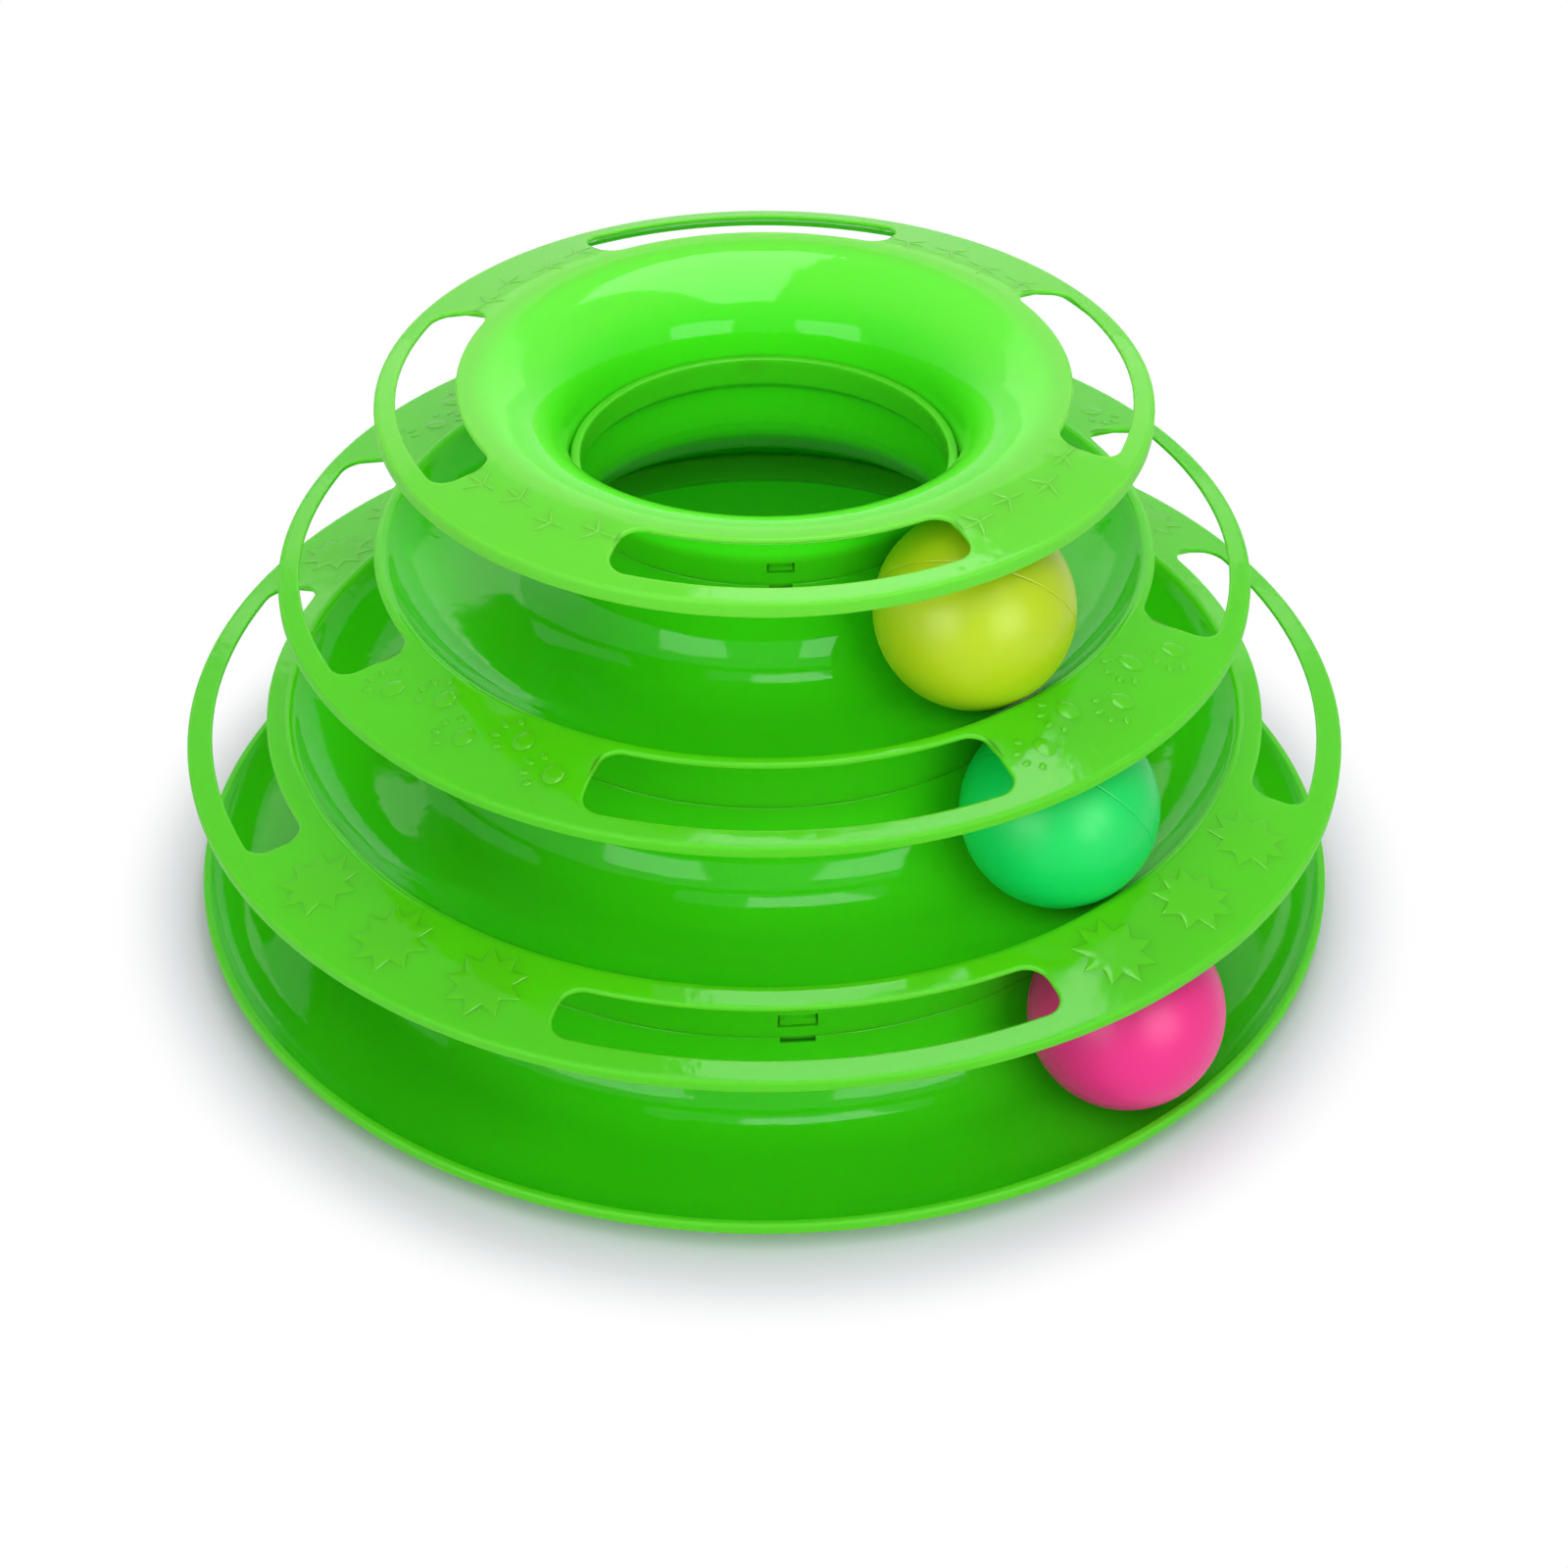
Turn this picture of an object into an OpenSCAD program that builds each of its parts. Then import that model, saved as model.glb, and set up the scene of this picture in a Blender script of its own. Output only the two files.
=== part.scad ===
// Three-tier ball track toy for cats.
// Four moulded rings snap together into a hollow tower, and one ball rolls round in each trough.
// The axis of the tower is Z, the floor is Z = 0 and the front is -Y.

/* [Overall] */
// Outer diameter of the base, the widest part of the toy
overall_d = 250; // [240:1:262]
// Diameter of each ball
ball_d = 40; // [39:0.25:41]
// Thickness of the moulded sheet
wall = 2; // [1.6:0.1:2.2]

/* [Tiers] */
// How far each tier steps in from the one below
tier_step = 22.7; // [22:0.1:24.5]
// How much lower than a ball the open window between two tiers is
ball_trap = 9; // [8:0.1:9.4]
// Gap between a ball and the inner wall of its trough
side_gap = 0.6; // [0.4:0.1:1]
// Gap between a ball and the floor of its trough
floor_gap = 0.3; // [0.2:0.05:0.5]
// Radius of the hollow between the inner wall and the floor of a trough
hollow_r = 13; // [10:0.5:15]
// How much rounder than a ball the outer side of a trough is
trough_ease = 1; // [0.7:0.1:1.3]

/* [Brims] */
// Height of a brim's crest above the floor of its trough
crest_h = 8; // [7:0.25:9]
// Width of a brim, from the middle of its crest to its lip
brim_w = 21.6; // [19:0.1:23]
// Fall of a brim towards its lip, in degrees
brim_slope = 12; // [9:0.5:14]
// Height of the lip's outer face
lip_h = 2.6; // [2.2:0.1:3.4]
// Rounding on top of the lip
lip_round = 0.8; // [0.4:0.1:1.2]
// How far the lowest brim stays inside the base
lip_inset = 0.4; // [0:0.1:2]

/* [Slots] */
// Number of paw slots in each brim
slot_count = 4; // [3:1:5]
// Width of the strip of brim outside a slot of the lower track
low_strip_w = 5.4; // [4:0.1:8]
// Width of the strip of brim outside a slot of the upper track
mid_strip_w = 4.5; // [4:0.1:8]
// Width of the strip of brim outside a slot of the top ring
top_strip_w = 4.4; // [4:0.1:8]
// Distance from the middle of the lower track's crest to a slot
low_slot_land = 4.4; // [1:0.1:6]
// Distance from the middle of the upper track's crest to a slot
mid_slot_land = 1.4; // [1:0.1:6]
// Distance that the top ring's slots keep from the place of the tracks' crest
top_slot_land = 4.9; // [2:0.1:6]
// Rounding of a slot's corners
slot_corner = 4.5; // [3:0.1:5.5]
// Angle that a slot of the lower track covers, in degrees
low_slot_angle = 50; // [40:1:56]
// Angle that a slot of the upper track covers, in degrees
mid_slot_angle = 52; // [40:1:58]
// Angle that a slot of the top ring covers, in degrees
top_slot_angle = 57; // [44:1:60]
// Turn of the whole pattern of slots from the front, in degrees
slot_turn = 4.4; // [0:0.1:20]

/* [Base] */
// Flat floor outside the path of the lowest ball
base_flat = 6; // [4:0.25:9]
// Height of the base's rim above the floor of its trough
rim_rise = 4.7; // [3.5:0.1:6]
// Width of the rim's flat top
rim_w = 1.6; // [1.2:0.1:2.2]
// Height of the rim's outer face
rim_h = 2.5; // [1.8:0.1:3.2]
// Height of the base's inner wall, up to the seam
base_seam_h = 20; // [18:0.5:21]
// Height of the base's collar above the seam
base_collar_h = 7.5; // [6.8:0.1:9]

/* [Joints between tiers] */
// Height of a track's inner wall above its floor, up to the seam
seam_h = 22.5; // [21:0.25:24]
// Height of a track's collar above the seam
collar_h = 5.5; // [5.4:0.1:7.5]
// Thickness of a collar
collar_t = 2; // [1.4:0.1:2.4]
// Gap between a collar and the skirt round it
fit_gap = 0.2; // [0.1:0.05:0.3]
// Number of latches in each joint
latch_count = 4; // [3:1:6]
// Width of a latch pad on the base
base_latch_w = 7.6; // [6:0.2:10]
// Height of a latch pad on the base
base_latch_h = 2.8; // [2:0.1:3.2]
// Width of a latch pad on a track
latch_w = 5; // [4:0.2:7]
// Height of a latch pad on a track
latch_h = 1.8; // [1.4:0.1:2.2]
// Distance from the seam up to a latch pad
latch_rise = 2.9; // [2.4:0.1:3.1]
// Gap between a latch pad and its window, all round
latch_gap = 0.2; // [0.15:0.05:0.3]
// Turn of the middle joint's latches from the others, in degrees
mid_latch_turn = 45; // [0:1:45]
// Height of the notch under a latch
notch_h = 1.5; // [1:0.1:2]
// Depth of the notch under a latch
notch_depth = 0.9; // [0.5:0.1:1.2]

/* [Top ring] */
// Distance from the top ring's lip in to its ring of highest points round the centre hole
top_crest_in = 18.2; // [16.2:0.1:21.2]
// Radius of the rounding from those highest points to the brim's slope
top_crest_round = 24; // [18:0.5:28]
// How much higher the top ring's lip is than the tracks' lips are above their floors
top_lip_rise = 1.2; // [0:0.1:2]
// Height of the outer face of the top ring's lip
top_lip_h = 3.4; // [2.6:0.1:4]
// Gap between the funnel's lower end and the level of the collar's top
funnel_gap = 0.3; // [0.1:0.1:1]

/* [Balls] */
// Thickness of a ball's wall
ball_wall = 1.2; // [0.8:0.1:2]
// Place of the pink ball along the base's trough, in degrees
pink_angle = -47.5; // [-180:0.5:180]
// Place of the green ball along the lower track, in degrees
green_angle = -46.5; // [-180:0.5:180]
// Place of the yellow ball along the upper track, in degrees
yellow_angle = -49; // [-180:0.5:180]

/* [Feet] */
// Diameter of a rubber pad
foot_d = 11; // [8:0.5:12]
// Thickness of a rubber pad
foot_h = 1; // [0.8:0.1:2]

/* [Hidden] */
$fn = 96;

// Steps along each arc of an outline
arc_steps = 10;
// Overrun of every cut past the face that it leaves
over = 1;

// Ball and trough, shared by the three tracks
ball_r = ball_d / 2;
trough_r = ball_r + trough_ease;
// The crest is a full round over the sheet, a little more than its thickness
crest_r = 1.1 * wall;
// Turn along the trough's outer side from its lowest point to the crest
crest_turn = acos((trough_r - (crest_h - crest_r)) / (trough_r + crest_r));
// Distance from the path of a ball's centre to the middle of the crest, and on to the lip
crest_reach = (trough_r + crest_r) * sin(crest_turn);
brim_reach = crest_reach + brim_w;
// Fall of the brim from its crest to the top of its lip
lip_run = brim_w - lip_round - crest_r * sin(brim_slope);
lip_top_h = crest_h - crest_r * (1 - cos(brim_slope)) - lip_run * tan(brim_slope);
lip_low_h = lip_top_h - lip_h;
// Each tier stands so high that the window under its lip is ball_trap lower than a ball
tier_rise = ball_d - ball_trap + crest_h - lip_low_h;

// Which way each ball's weld seam faces, chosen by hand: tilt, then turn
pink_seam_angles = [35, 20];
green_seam_angles = [62, 150];
yellow_seam_angles = [59, 166];

foot_angles = [-45, 45, 135, 225];

// Tiers are numbered from the base, 0, to the top ring, 3
function floor_z(k) = foot_h + wall + k * tier_rise;
function lip_r(k) = overall_d / 2 - lip_inset - (k - 1) * tier_step;
function path_r(k) = lip_r(k) - brim_reach;
function wall_r(k) = path_r(k) - ball_r - side_gap;
function skirt_r(k) = wall_r(k) - wall;
function collar_r(k) = skirt_r(k) - fit_gap;
function seam_z(k) = floor_z(k) + (k == 0 ? base_seam_h : seam_h);
function collar_top_z(k) = seam_z(k) + (k == 0 ? base_collar_h : collar_h);
function slot_angle(k) = k == 1 ? low_slot_angle : k == 2 ? mid_slot_angle : top_slot_angle;
function strip_w(k) = k == 1 ? low_strip_w : k == 2 ? mid_strip_w : top_strip_w;
function slot_land(k) = k == 1 ? low_slot_land : k == 2 ? mid_slot_land : top_slot_land;
// Height where a brim's slope ends, at the top of its lip
function brim_end_z(k) = floor_z(k) + lip_top_h + (k == 3 ? top_lip_rise : 0);
// Radius of the ring of highest points round the centre hole
top_crest_r = lip_r(3) - top_crest_in;
function pad_w(k) = k == 0 ? base_latch_w : latch_w;
function pad_h(k) = k == 0 ? base_latch_h : latch_h;
function latch_turn(k) = slot_turn + (k == 1 ? mid_latch_turn : 0);
// The angle that a width covers at a radius
function width_angle(w, r) = 2 * asin(w / (2 * r));

// Points along an arc about c, with both of its ends
function arc(c, r, from, to) = [
    for (i = [0:arc_steps])
        let (a = from + (to - from) * i / arc_steps)
        c + r * [cos(a), sin(a)]
];

// Points along part of an ellipse about c, with both of its ends
function ellipse_arc(c, a, b, from, to) = [
    for (i = [0:arc_steps])
        let (t = from + (to - from) * i / arc_steps)
        c + [a * cos(t), b * sin(t)]
];

// Outline of a track's collar and inner wall, from its inner fillet round to its outer one
function inner_wall_outline(k) =
    let (
        hollow_c = [wall_r(k) + hollow_r, floor_z(k) + hollow_r],
        bore_r = collar_r(k) - collar_t,
        bevel = collar_t / 4,
        step = skirt_r(k) - bore_r
    )
    concat(
        arc(hollow_c, hollow_r + wall, 270, 180),
        [
            [skirt_r(k), seam_z(k) - bevel - step],
            [bore_r, seam_z(k) - bevel],
            [bore_r, collar_top_z(k)],
            [collar_r(k) - bevel, collar_top_z(k)],
            [collar_r(k), collar_top_z(k) - bevel],
            [collar_r(k), seam_z(k)],
            [wall_r(k), seam_z(k)]
        ],
        arc(hollow_c, hollow_r, 180, 270)
    );

// Outline of a brim past its crest: over the lip and back under the sheet
function brim_outline(k, crest_c, crest_from, round_r) =
    let (
        fall = [sin(brim_slope), cos(brim_slope)],
        lip_top = [lip_r(k) - lip_round, brim_end_z(k)],
        low_z = lip_top[1] - (k == 3 ? top_lip_h : lip_h),
        under_z = lip_top[1] + (wall - lip_round) * tan(brim_slope) - wall / cos(brim_slope)
    )
    concat(
        arc(crest_c, round_r, crest_from, 90 - brim_slope),
        [
            lip_top,
            [lip_r(k), lip_top[1] - lip_round],
            [lip_r(k), low_z],
            [lip_r(k) - wall, low_z],
            [lip_r(k) - wall, under_z],
            crest_c + (round_r - wall) * fall
        ]
    );

// Outline of a whole track: inner wall, floor, outer side of the trough and brim
function track_outline(k) =
    let (
        trough_c = [path_r(k), floor_z(k) + trough_r],
        crest_c = trough_c + (trough_r + crest_r) * [sin(crest_turn), -cos(crest_turn)]
    )
    concat(
        inner_wall_outline(k),
        arc(trough_c, trough_r, 270, 270 + crest_turn),
        brim_outline(k, crest_c, 90 + crest_turn, crest_r),
        arc(trough_c, trough_r + wall, 270 + crest_turn, 270)
    );

// Outline of the base: inner wall, flat floor and the low rim that curves up round it
function base_outline() =
    let (
        flat_r = path_r(0) + base_flat,
        run = overall_d / 2 - rim_w - flat_r,
        side_r = (run * run + rim_rise * rim_rise) / (2 * rim_rise),
        side_c = [flat_r, floor_z(0) + side_r],
        side_turn = asin(run / side_r),
        top_z = floor_z(0) + rim_rise,
        bevel = rim_w / 4,
        low_turn = acos((side_r - rim_rise + rim_h) / (side_r + wall))
    )
    concat(
        inner_wall_outline(0),
        arc(side_c, side_r, 270, 270 + side_turn),
        [
            [overall_d / 2 - bevel, top_z],
            [overall_d / 2, top_z - bevel],
            [overall_d / 2, top_z - rim_h]
        ],
        arc(side_c, side_r + wall, 270 + low_turn, 270)
    );

// Outline of the top ring: skirt, funnel up to the rounded crest, and brim
function top_outline() =
    let (
        rest = lip_r(3) - lip_round - top_crest_r,
        // The crest is so high that its rounding ends on the line of the brim
        round_fall = top_crest_round * (1 / cos(brim_slope) - 1),
        crest_z = brim_end_z(3) + rest * tan(brim_slope) - round_fall,
        foot_z = collar_top_z(2) + funnel_gap,
        funnel_c = [top_crest_r, foot_z],
        funnel_w = top_crest_r - skirt_r(2),
        funnel_h = crest_z - foot_z,
        crest_c = [top_crest_r, crest_z - top_crest_round]
    )
    concat(
        [[wall_r(2), seam_z(2)], [skirt_r(2), seam_z(2)]],
        ellipse_arc(funnel_c, funnel_w, funnel_h, 180, 90),
        brim_outline(3, crest_c, 90, top_crest_round),
        arc(crest_c, top_crest_round - wall, 90 - brim_slope, 90),
        ellipse_arc(funnel_c, funnel_w - wall, funnel_h - wall, 90, 180)
    );

// Skirt under a track, which comes down round the collar of the tier below
module skirt(k) {
    top_z = floor_z(k) - wall / 2;
    translate([skirt_r(k - 1), seam_z(k - 1)])
        square([wall, top_z - seam_z(k - 1)]);
}

// One end of a slot, from its band's end on: as long as half of the width, with two rounded corners
module slot_end(width, height) {
    corner = min(slot_corner, 0.9 * width / 2);
    flat = width / 2 - corner;
    translate([-width / 2, 0, 0])
        cube([width, flat, height]);
    translate([-flat, -corner, 0])
        cube([2 * flat, width / 2 + corner, height]);
    for (side = [-1, 1])
        translate([side * flat, flat, 0])
            cylinder(r = corner, h = height);
}

// One paw slot: a band along the brim with an end on either side
module slot_cut(k) {
    out_r = lip_r(k) - strip_w(k);
    in_r = lip_r(k) - brim_w + slot_land(k);
    mid_r = (out_r + in_r) / 2;
    width = out_r - in_r;
    sweep = slot_angle(k) - width_angle(width, mid_r);
    low_z = floor_z(k) + lip_low_h - over;
    height = crest_h + wall + 2 * over;
    translate([0, 0, low_z]) {
        rotate([0, 0, -sweep / 2])
            rotate_extrude(angle = sweep)
                translate([in_r, 0])
                    square([width, height]);
        for (side = [0, 1])
            mirror([0, side, 0])
                rotate([0, 0, sweep / 2])
                    translate([mid_r, 0, 0])
                        slot_end(width, height);
    }
}

module slots(k) {
    for (i = [0:slot_count - 1])
        rotate([0, 0, slot_turn - 90 + i * 360 / slot_count])
            slot_cut(k);
}

// A block bent round the axis, from r0 to r1 and from z0 to z1, that covers an angle
module bent_block(r0, r1, z0, z1, sweep) {
    rotate([0, 0, -sweep / 2])
        rotate_extrude(angle = sweep)
            translate([r0, z0])
                square([r1 - r0, z1 - z0]);
}

// Places its children at each latch of the joint above tier k
module at_latches(k) {
    for (i = [0:latch_count - 1])
        rotate([0, 0, latch_turn(k) - 90 + i * 360 / latch_count])
            children();
}

// Wedge-shaped pads on the collar, with a ramp on top that leads the skirt over them
module latch_pads(k) {
    sweep = width_angle(pad_w(k), wall_r(k));
    low = seam_z(k) + latch_rise;
    nose_r = wall_r(k) - latch_gap;
    at_latches(k)
        rotate([0, 0, -sweep / 2])
            rotate_extrude(angle = sweep)
                polygon([
                    [collar_r(k) - collar_t / 2, low],
                    [nose_r, low],
                    [nose_r, low + pad_h(k) / 2],
                    [collar_r(k), low + pad_h(k)],
                    [collar_r(k) - collar_t / 2, low + pad_h(k)]
                ]);
}

// Windows in the skirt round the collar of tier k, where the pads click in
module latch_windows(k) {
    low = seam_z(k) + latch_rise - latch_gap;
    sweep = width_angle(pad_w(k) + 2 * latch_gap, wall_r(k));
    at_latches(k)
        bent_block(skirt_r(k) - over, wall_r(k) + over, low, low + pad_h(k) + 2 * latch_gap, sweep);
}

// Notches under the seam, below each pad
module latch_notches(k) {
    sweep = width_angle(pad_w(k) - 2 * latch_gap, wall_r(k));
    at_latches(k)
        bent_block(wall_r(k) - notch_depth, wall_r(k) + over, seam_z(k) - notch_h, seam_z(k) + over, sweep);
}

module base_track() {
    color([0.32, 0.8, 0.13]) {
        difference() {
            rotate_extrude()
                polygon(base_outline());
            latch_notches(0);
        }
        latch_pads(0);
    }
}

// A track with its skirt, slots and both ends of its latches
module track(k) {
    color([0.32, 0.8, 0.13]) {
        difference() {
            rotate_extrude() {
                polygon(track_outline(k));
                skirt(k);
            }
            slots(k);
            latch_windows(k - 1);
            latch_notches(k);
        }
        latch_pads(k);
    }
}

module lower_track() track(1);

module upper_track() track(2);

module top_ring() {
    color([0.38, 0.86, 0.18])
        difference() {
            rotate_extrude()
                polygon(top_outline());
            slots(3);
            latch_windows(2);
        }
}

// Half of a hollow ball on the path of tier k: side is 1 for the upper half and -1 for the lower
module half_ball(k, angle, seam, side) {
    rotate([0, 0, angle])
        translate([path_r(k), 0, floor_z(k) + floor_gap + ball_r])
            rotate([0, 0, seam[1] - angle])
                rotate([side > 0 ? seam[0] : seam[0] + 180, 0, 0])
                    rotate_extrude()
                        intersection() {
                            difference() {
                                circle(r = ball_r);
                                circle(r = ball_r - ball_wall);
                            }
                            square(ball_r);
                        }
}

module foot_pad(i) {
    mid_r = (wall_r(0) + hollow_r + path_r(0) + base_flat) / 2;
    color([0.75, 0.76, 0.74])
        rotate([0, 0, foot_angles[i]])
            translate([mid_r, 0, 0])
                cylinder(d = foot_d, h = foot_h);
}

module pink_half(side) color([0.93, 0.3, 0.58]) half_ball(0, pink_angle, pink_seam_angles, side);

module green_half(side) color([0.08, 0.85, 0.36]) half_ball(1, green_angle, green_seam_angles, side);

module yellow_half(side) color([0.78, 0.86, 0.15]) half_ball(2, yellow_angle, yellow_seam_angles, side);

base_track();
lower_track();
upper_track();
top_ring();
pink_half(1);  // pink_ball_upper_half
pink_half(-1);  // pink_ball_lower_half
green_half(1);  // green_ball_upper_half
green_half(-1);  // green_ball_lower_half
yellow_half(1);  // yellow_ball_upper_half
yellow_half(-1);  // yellow_ball_lower_half
foot_pad(0);  // foot_pad_front_right
foot_pad(1);  // foot_pad_back_right
foot_pad(2);  // foot_pad_back_left
foot_pad(3);  // foot_pad_front_left
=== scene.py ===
"""Looks of a three-tier ball track toy for cats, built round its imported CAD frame.

Sizes are in millimetres until a mesh is made, and every mesh is in metres, in the frame's place.
The axis of the tower is Z, the floor is Z = 0 and the front is -Y.
"""

import logging
import math
from dataclasses import dataclass, replace
from enum import Enum
from typing import Callable, Optional, Sequence, Union

import bmesh
import bpy
import numpy as np
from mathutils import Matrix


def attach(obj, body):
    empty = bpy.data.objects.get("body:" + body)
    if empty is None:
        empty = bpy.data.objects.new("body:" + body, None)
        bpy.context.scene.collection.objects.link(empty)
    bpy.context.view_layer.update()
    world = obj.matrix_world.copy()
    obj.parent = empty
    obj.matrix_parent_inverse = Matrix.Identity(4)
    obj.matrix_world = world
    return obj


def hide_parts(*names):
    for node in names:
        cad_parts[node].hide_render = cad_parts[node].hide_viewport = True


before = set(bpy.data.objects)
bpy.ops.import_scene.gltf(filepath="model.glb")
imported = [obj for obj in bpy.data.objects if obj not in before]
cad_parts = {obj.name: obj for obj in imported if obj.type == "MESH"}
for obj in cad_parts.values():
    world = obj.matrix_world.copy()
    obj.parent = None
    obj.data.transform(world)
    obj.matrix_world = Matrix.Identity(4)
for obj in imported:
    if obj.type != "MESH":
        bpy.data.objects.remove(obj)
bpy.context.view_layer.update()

LOG = logging.getLogger("ball_track_toy")
# What a node's input takes: another node's output, or a value
Feed = Union[bpy.types.NodeSocket, float, Sequence[float]]
MM = 0.001
WHITE = (1.0, 1.0, 1.0, 1.0)
QUARTERS = 4
FULL_TURN = 2 * math.pi


class Tier(Enum):
    """The tiers of the tower, counted from the floor."""

    BASE = 0
    LOWER = 1
    UPPER = 2
    TOP = 3


@dataclass(frozen=True)
class TowerSizes:
    """Sizes of the tower in millimetres, the same as the CAD frame has."""

    overall_d: float = 250.0
    ball_d: float = 40.0
    wall: float = 2.0
    tier_step: float = 22.7
    ball_trap: float = 9.0
    side_gap: float = 0.6
    floor_gap: float = 0.3
    hollow_r: float = 13.0
    trough_ease: float = 1.0
    crest_h: float = 8.0
    brim_w: float = 21.6
    brim_slope: float = math.radians(12.0)
    lip_h: float = 2.6
    lip_round: float = 0.8
    lip_inset: float = 0.4
    strip_widths: tuple[float, ...] = (0.0, 5.4, 4.5, 4.4)
    slot_lands: tuple[float, ...] = (0.0, 4.4, 1.4, 4.9)
    slot_corner: float = 4.5
    slot_angles: tuple[float, ...] = (0.0, 50.0, 52.0, 57.0)
    slot_turn: float = 4.4
    base_flat: float = 6.0
    rim_rise: float = 4.7
    rim_w: float = 1.6
    rim_h: float = 2.5
    seam_heights: tuple[float, ...] = (20.0, 22.5, 22.5)
    collar_heights: tuple[float, ...] = (7.5, 5.5, 5.5)
    collar_t: float = 2.0
    fit_gap: float = 0.2
    latch_widths: tuple[float, ...] = (7.6, 5.0, 5.0)
    latch_heights: tuple[float, ...] = (2.8, 1.8, 1.8)
    latch_rise: float = 2.9
    latch_gap: float = 0.2
    latch_turns: tuple[float, ...] = (0.0, 45.0, 0.0)
    notch_h: float = 1.5
    notch_depth: float = 0.9
    top_crest_in: float = 18.2
    top_crest_round: float = 24.0
    top_lip_rise: float = 1.2
    top_lip_h: float = 3.4
    funnel_gap: float = 0.3
    ball_wall: float = 1.2
    foot_d: float = 11.0
    foot_h: float = 1.0

    @property
    def ball_r(self) -> float:
        """Radius of a ball."""
        return self.ball_d / 2

    @property
    def trough_r(self) -> float:
        """Radius of the outer side of a trough."""
        return self.ball_r + self.trough_ease

    @property
    def crest_r(self) -> float:
        """Radius of the round over the sheet at a crest."""
        return 1.1 * self.wall

    @property
    def crest_turn(self) -> float:
        """Turn along the trough's outer side, from its lowest point to the crest."""
        rise = self.trough_r - (self.crest_h - self.crest_r)
        return math.acos(rise / (self.trough_r + self.crest_r))

    @property
    def crest_reach(self) -> float:
        """Distance from the path of a ball's centre to the middle of the crest."""
        return (self.trough_r + self.crest_r) * math.sin(self.crest_turn)

    @property
    def lip_top_h(self) -> float:
        """Height of the lip's top edge above the floor of the trough."""
        run = self.brim_w - self.lip_round - self.crest_r * math.sin(self.brim_slope)
        round_over = self.crest_r * (1 - math.cos(self.brim_slope))
        return self.crest_h - round_over - run * math.tan(self.brim_slope)

    @property
    def lip_low_h(self) -> float:
        """Height of the lip's lower edge above the floor of the trough."""
        return self.lip_top_h - self.lip_h

    @property
    def tier_rise(self) -> float:
        """Height of one tier above the next."""
        return self.ball_d - self.ball_trap + self.crest_h - self.lip_low_h

    def floor_z(self, k: int) -> float:
        """Height of the floor of trough k."""
        return self.foot_h + self.wall + k * self.tier_rise

    def lip_r(self, k: int) -> float:
        """Outer radius of the lip of tier k."""
        return self.overall_d / 2 - self.lip_inset - (k - 1) * self.tier_step

    def path_r(self, k: int) -> float:
        """Radius of the path of the ball's centre on tier k."""
        return self.lip_r(k) - self.crest_reach - self.brim_w

    def wall_r(self, k: int) -> float:
        """Radius of the inner wall of trough k, on its outer face."""
        return self.path_r(k) - self.ball_r - self.side_gap

    def skirt_r(self, k: int) -> float:
        """Radius of the inner face of the skirt that stands on tier k."""
        return self.wall_r(k) - self.wall

    def collar_r(self, k: int) -> float:
        """Outer radius of the collar of tier k."""
        return self.skirt_r(k) - self.fit_gap

    def seam_z(self, k: int) -> float:
        """Height of the seam on top of the inner wall of tier k."""
        return self.floor_z(k) + self.seam_heights[k]

    def collar_top_z(self, k: int) -> float:
        """Height of the top of the collar of tier k."""
        return self.seam_z(k) + self.collar_heights[k]

    def slot_span(self, k: int) -> tuple[float, float]:
        """Inner and outer radius of the slots of tier k."""
        lip = self.lip_r(k)
        return lip - self.brim_w + self.slot_lands[k], lip - self.strip_widths[k]

    @property
    def top_crest_r(self) -> float:
        """Radius of the top ring's crest."""
        return self.lip_r(3) - self.top_crest_in

    @property
    def top_crest_z(self) -> float:
        """Height of the top ring's crest, whose rounding ends on the line of the brim."""
        rest = self.lip_r(3) - self.lip_round - self.top_crest_r
        round_fall = self.top_crest_round * (1 / math.cos(self.brim_slope) - 1)
        return self.brim_end_z(3) + rest * math.tan(self.brim_slope) - round_fall

    def brim_end_z(self, k: int) -> float:
        """Height where the slope of brim k ends, at the top of its lip."""
        return self.floor_z(k) + self.lip_top_h + (self.top_lip_rise if k == 3 else 0.0)

    def lip_low_z(self, k: int) -> float:
        """Height of the lower edge of lip k."""
        return self.brim_end_z(k) - (self.top_lip_h if k == 3 else self.lip_h)


SIZES = TowerSizes()


def width_angle(width: float, radius: float) -> float:
    """The angle that a width covers at a radius, in radians."""
    return 2 * math.asin(width / (2 * radius))


def polar(points: np.ndarray) -> tuple[np.ndarray, np.ndarray, np.ndarray]:
    """Distance from the axis, angle round it and height of points (n, 3)."""
    return np.hypot(points[:, 0], points[:, 1]), np.arctan2(points[:, 1], points[:, 0]), points[:, 2]


def turn_matrix(degrees: float) -> np.ndarray:
    """Matrix (2, 2) that turns a row (forward, side) by an angle when it stands to the row's right."""
    c, n = math.cos(math.radians(degrees)), math.sin(math.radians(degrees))
    return np.array([[c, n], [-n, c]])


def smooth_step(low: float, high: float, values: np.ndarray) -> np.ndarray:
    """Smooth rise from 0 at low to 1 at high: 3t^2 - 2t^3 of the clipped share t."""
    share = np.clip((values - low) / (high - low), 0, 1)
    return share * share * (3 - 2 * share)


def turned_points(radius: np.ndarray, angle: np.ndarray, height: np.ndarray) -> np.ndarray:
    """Points from polar places: x = r cos a, y = r sin a, z as given.

    Args:
        radius: Distances from the axis.
        angle: Angles round the axis, in radians.
        height: Heights, which broadcast with the other two.

    Returns:
        An array with a last axis of three.
    """
    radius, angle, height = np.broadcast_arrays(radius, angle, height)
    return np.stack([radius * np.cos(angle), radius * np.sin(angle), height], axis=-1)


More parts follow.
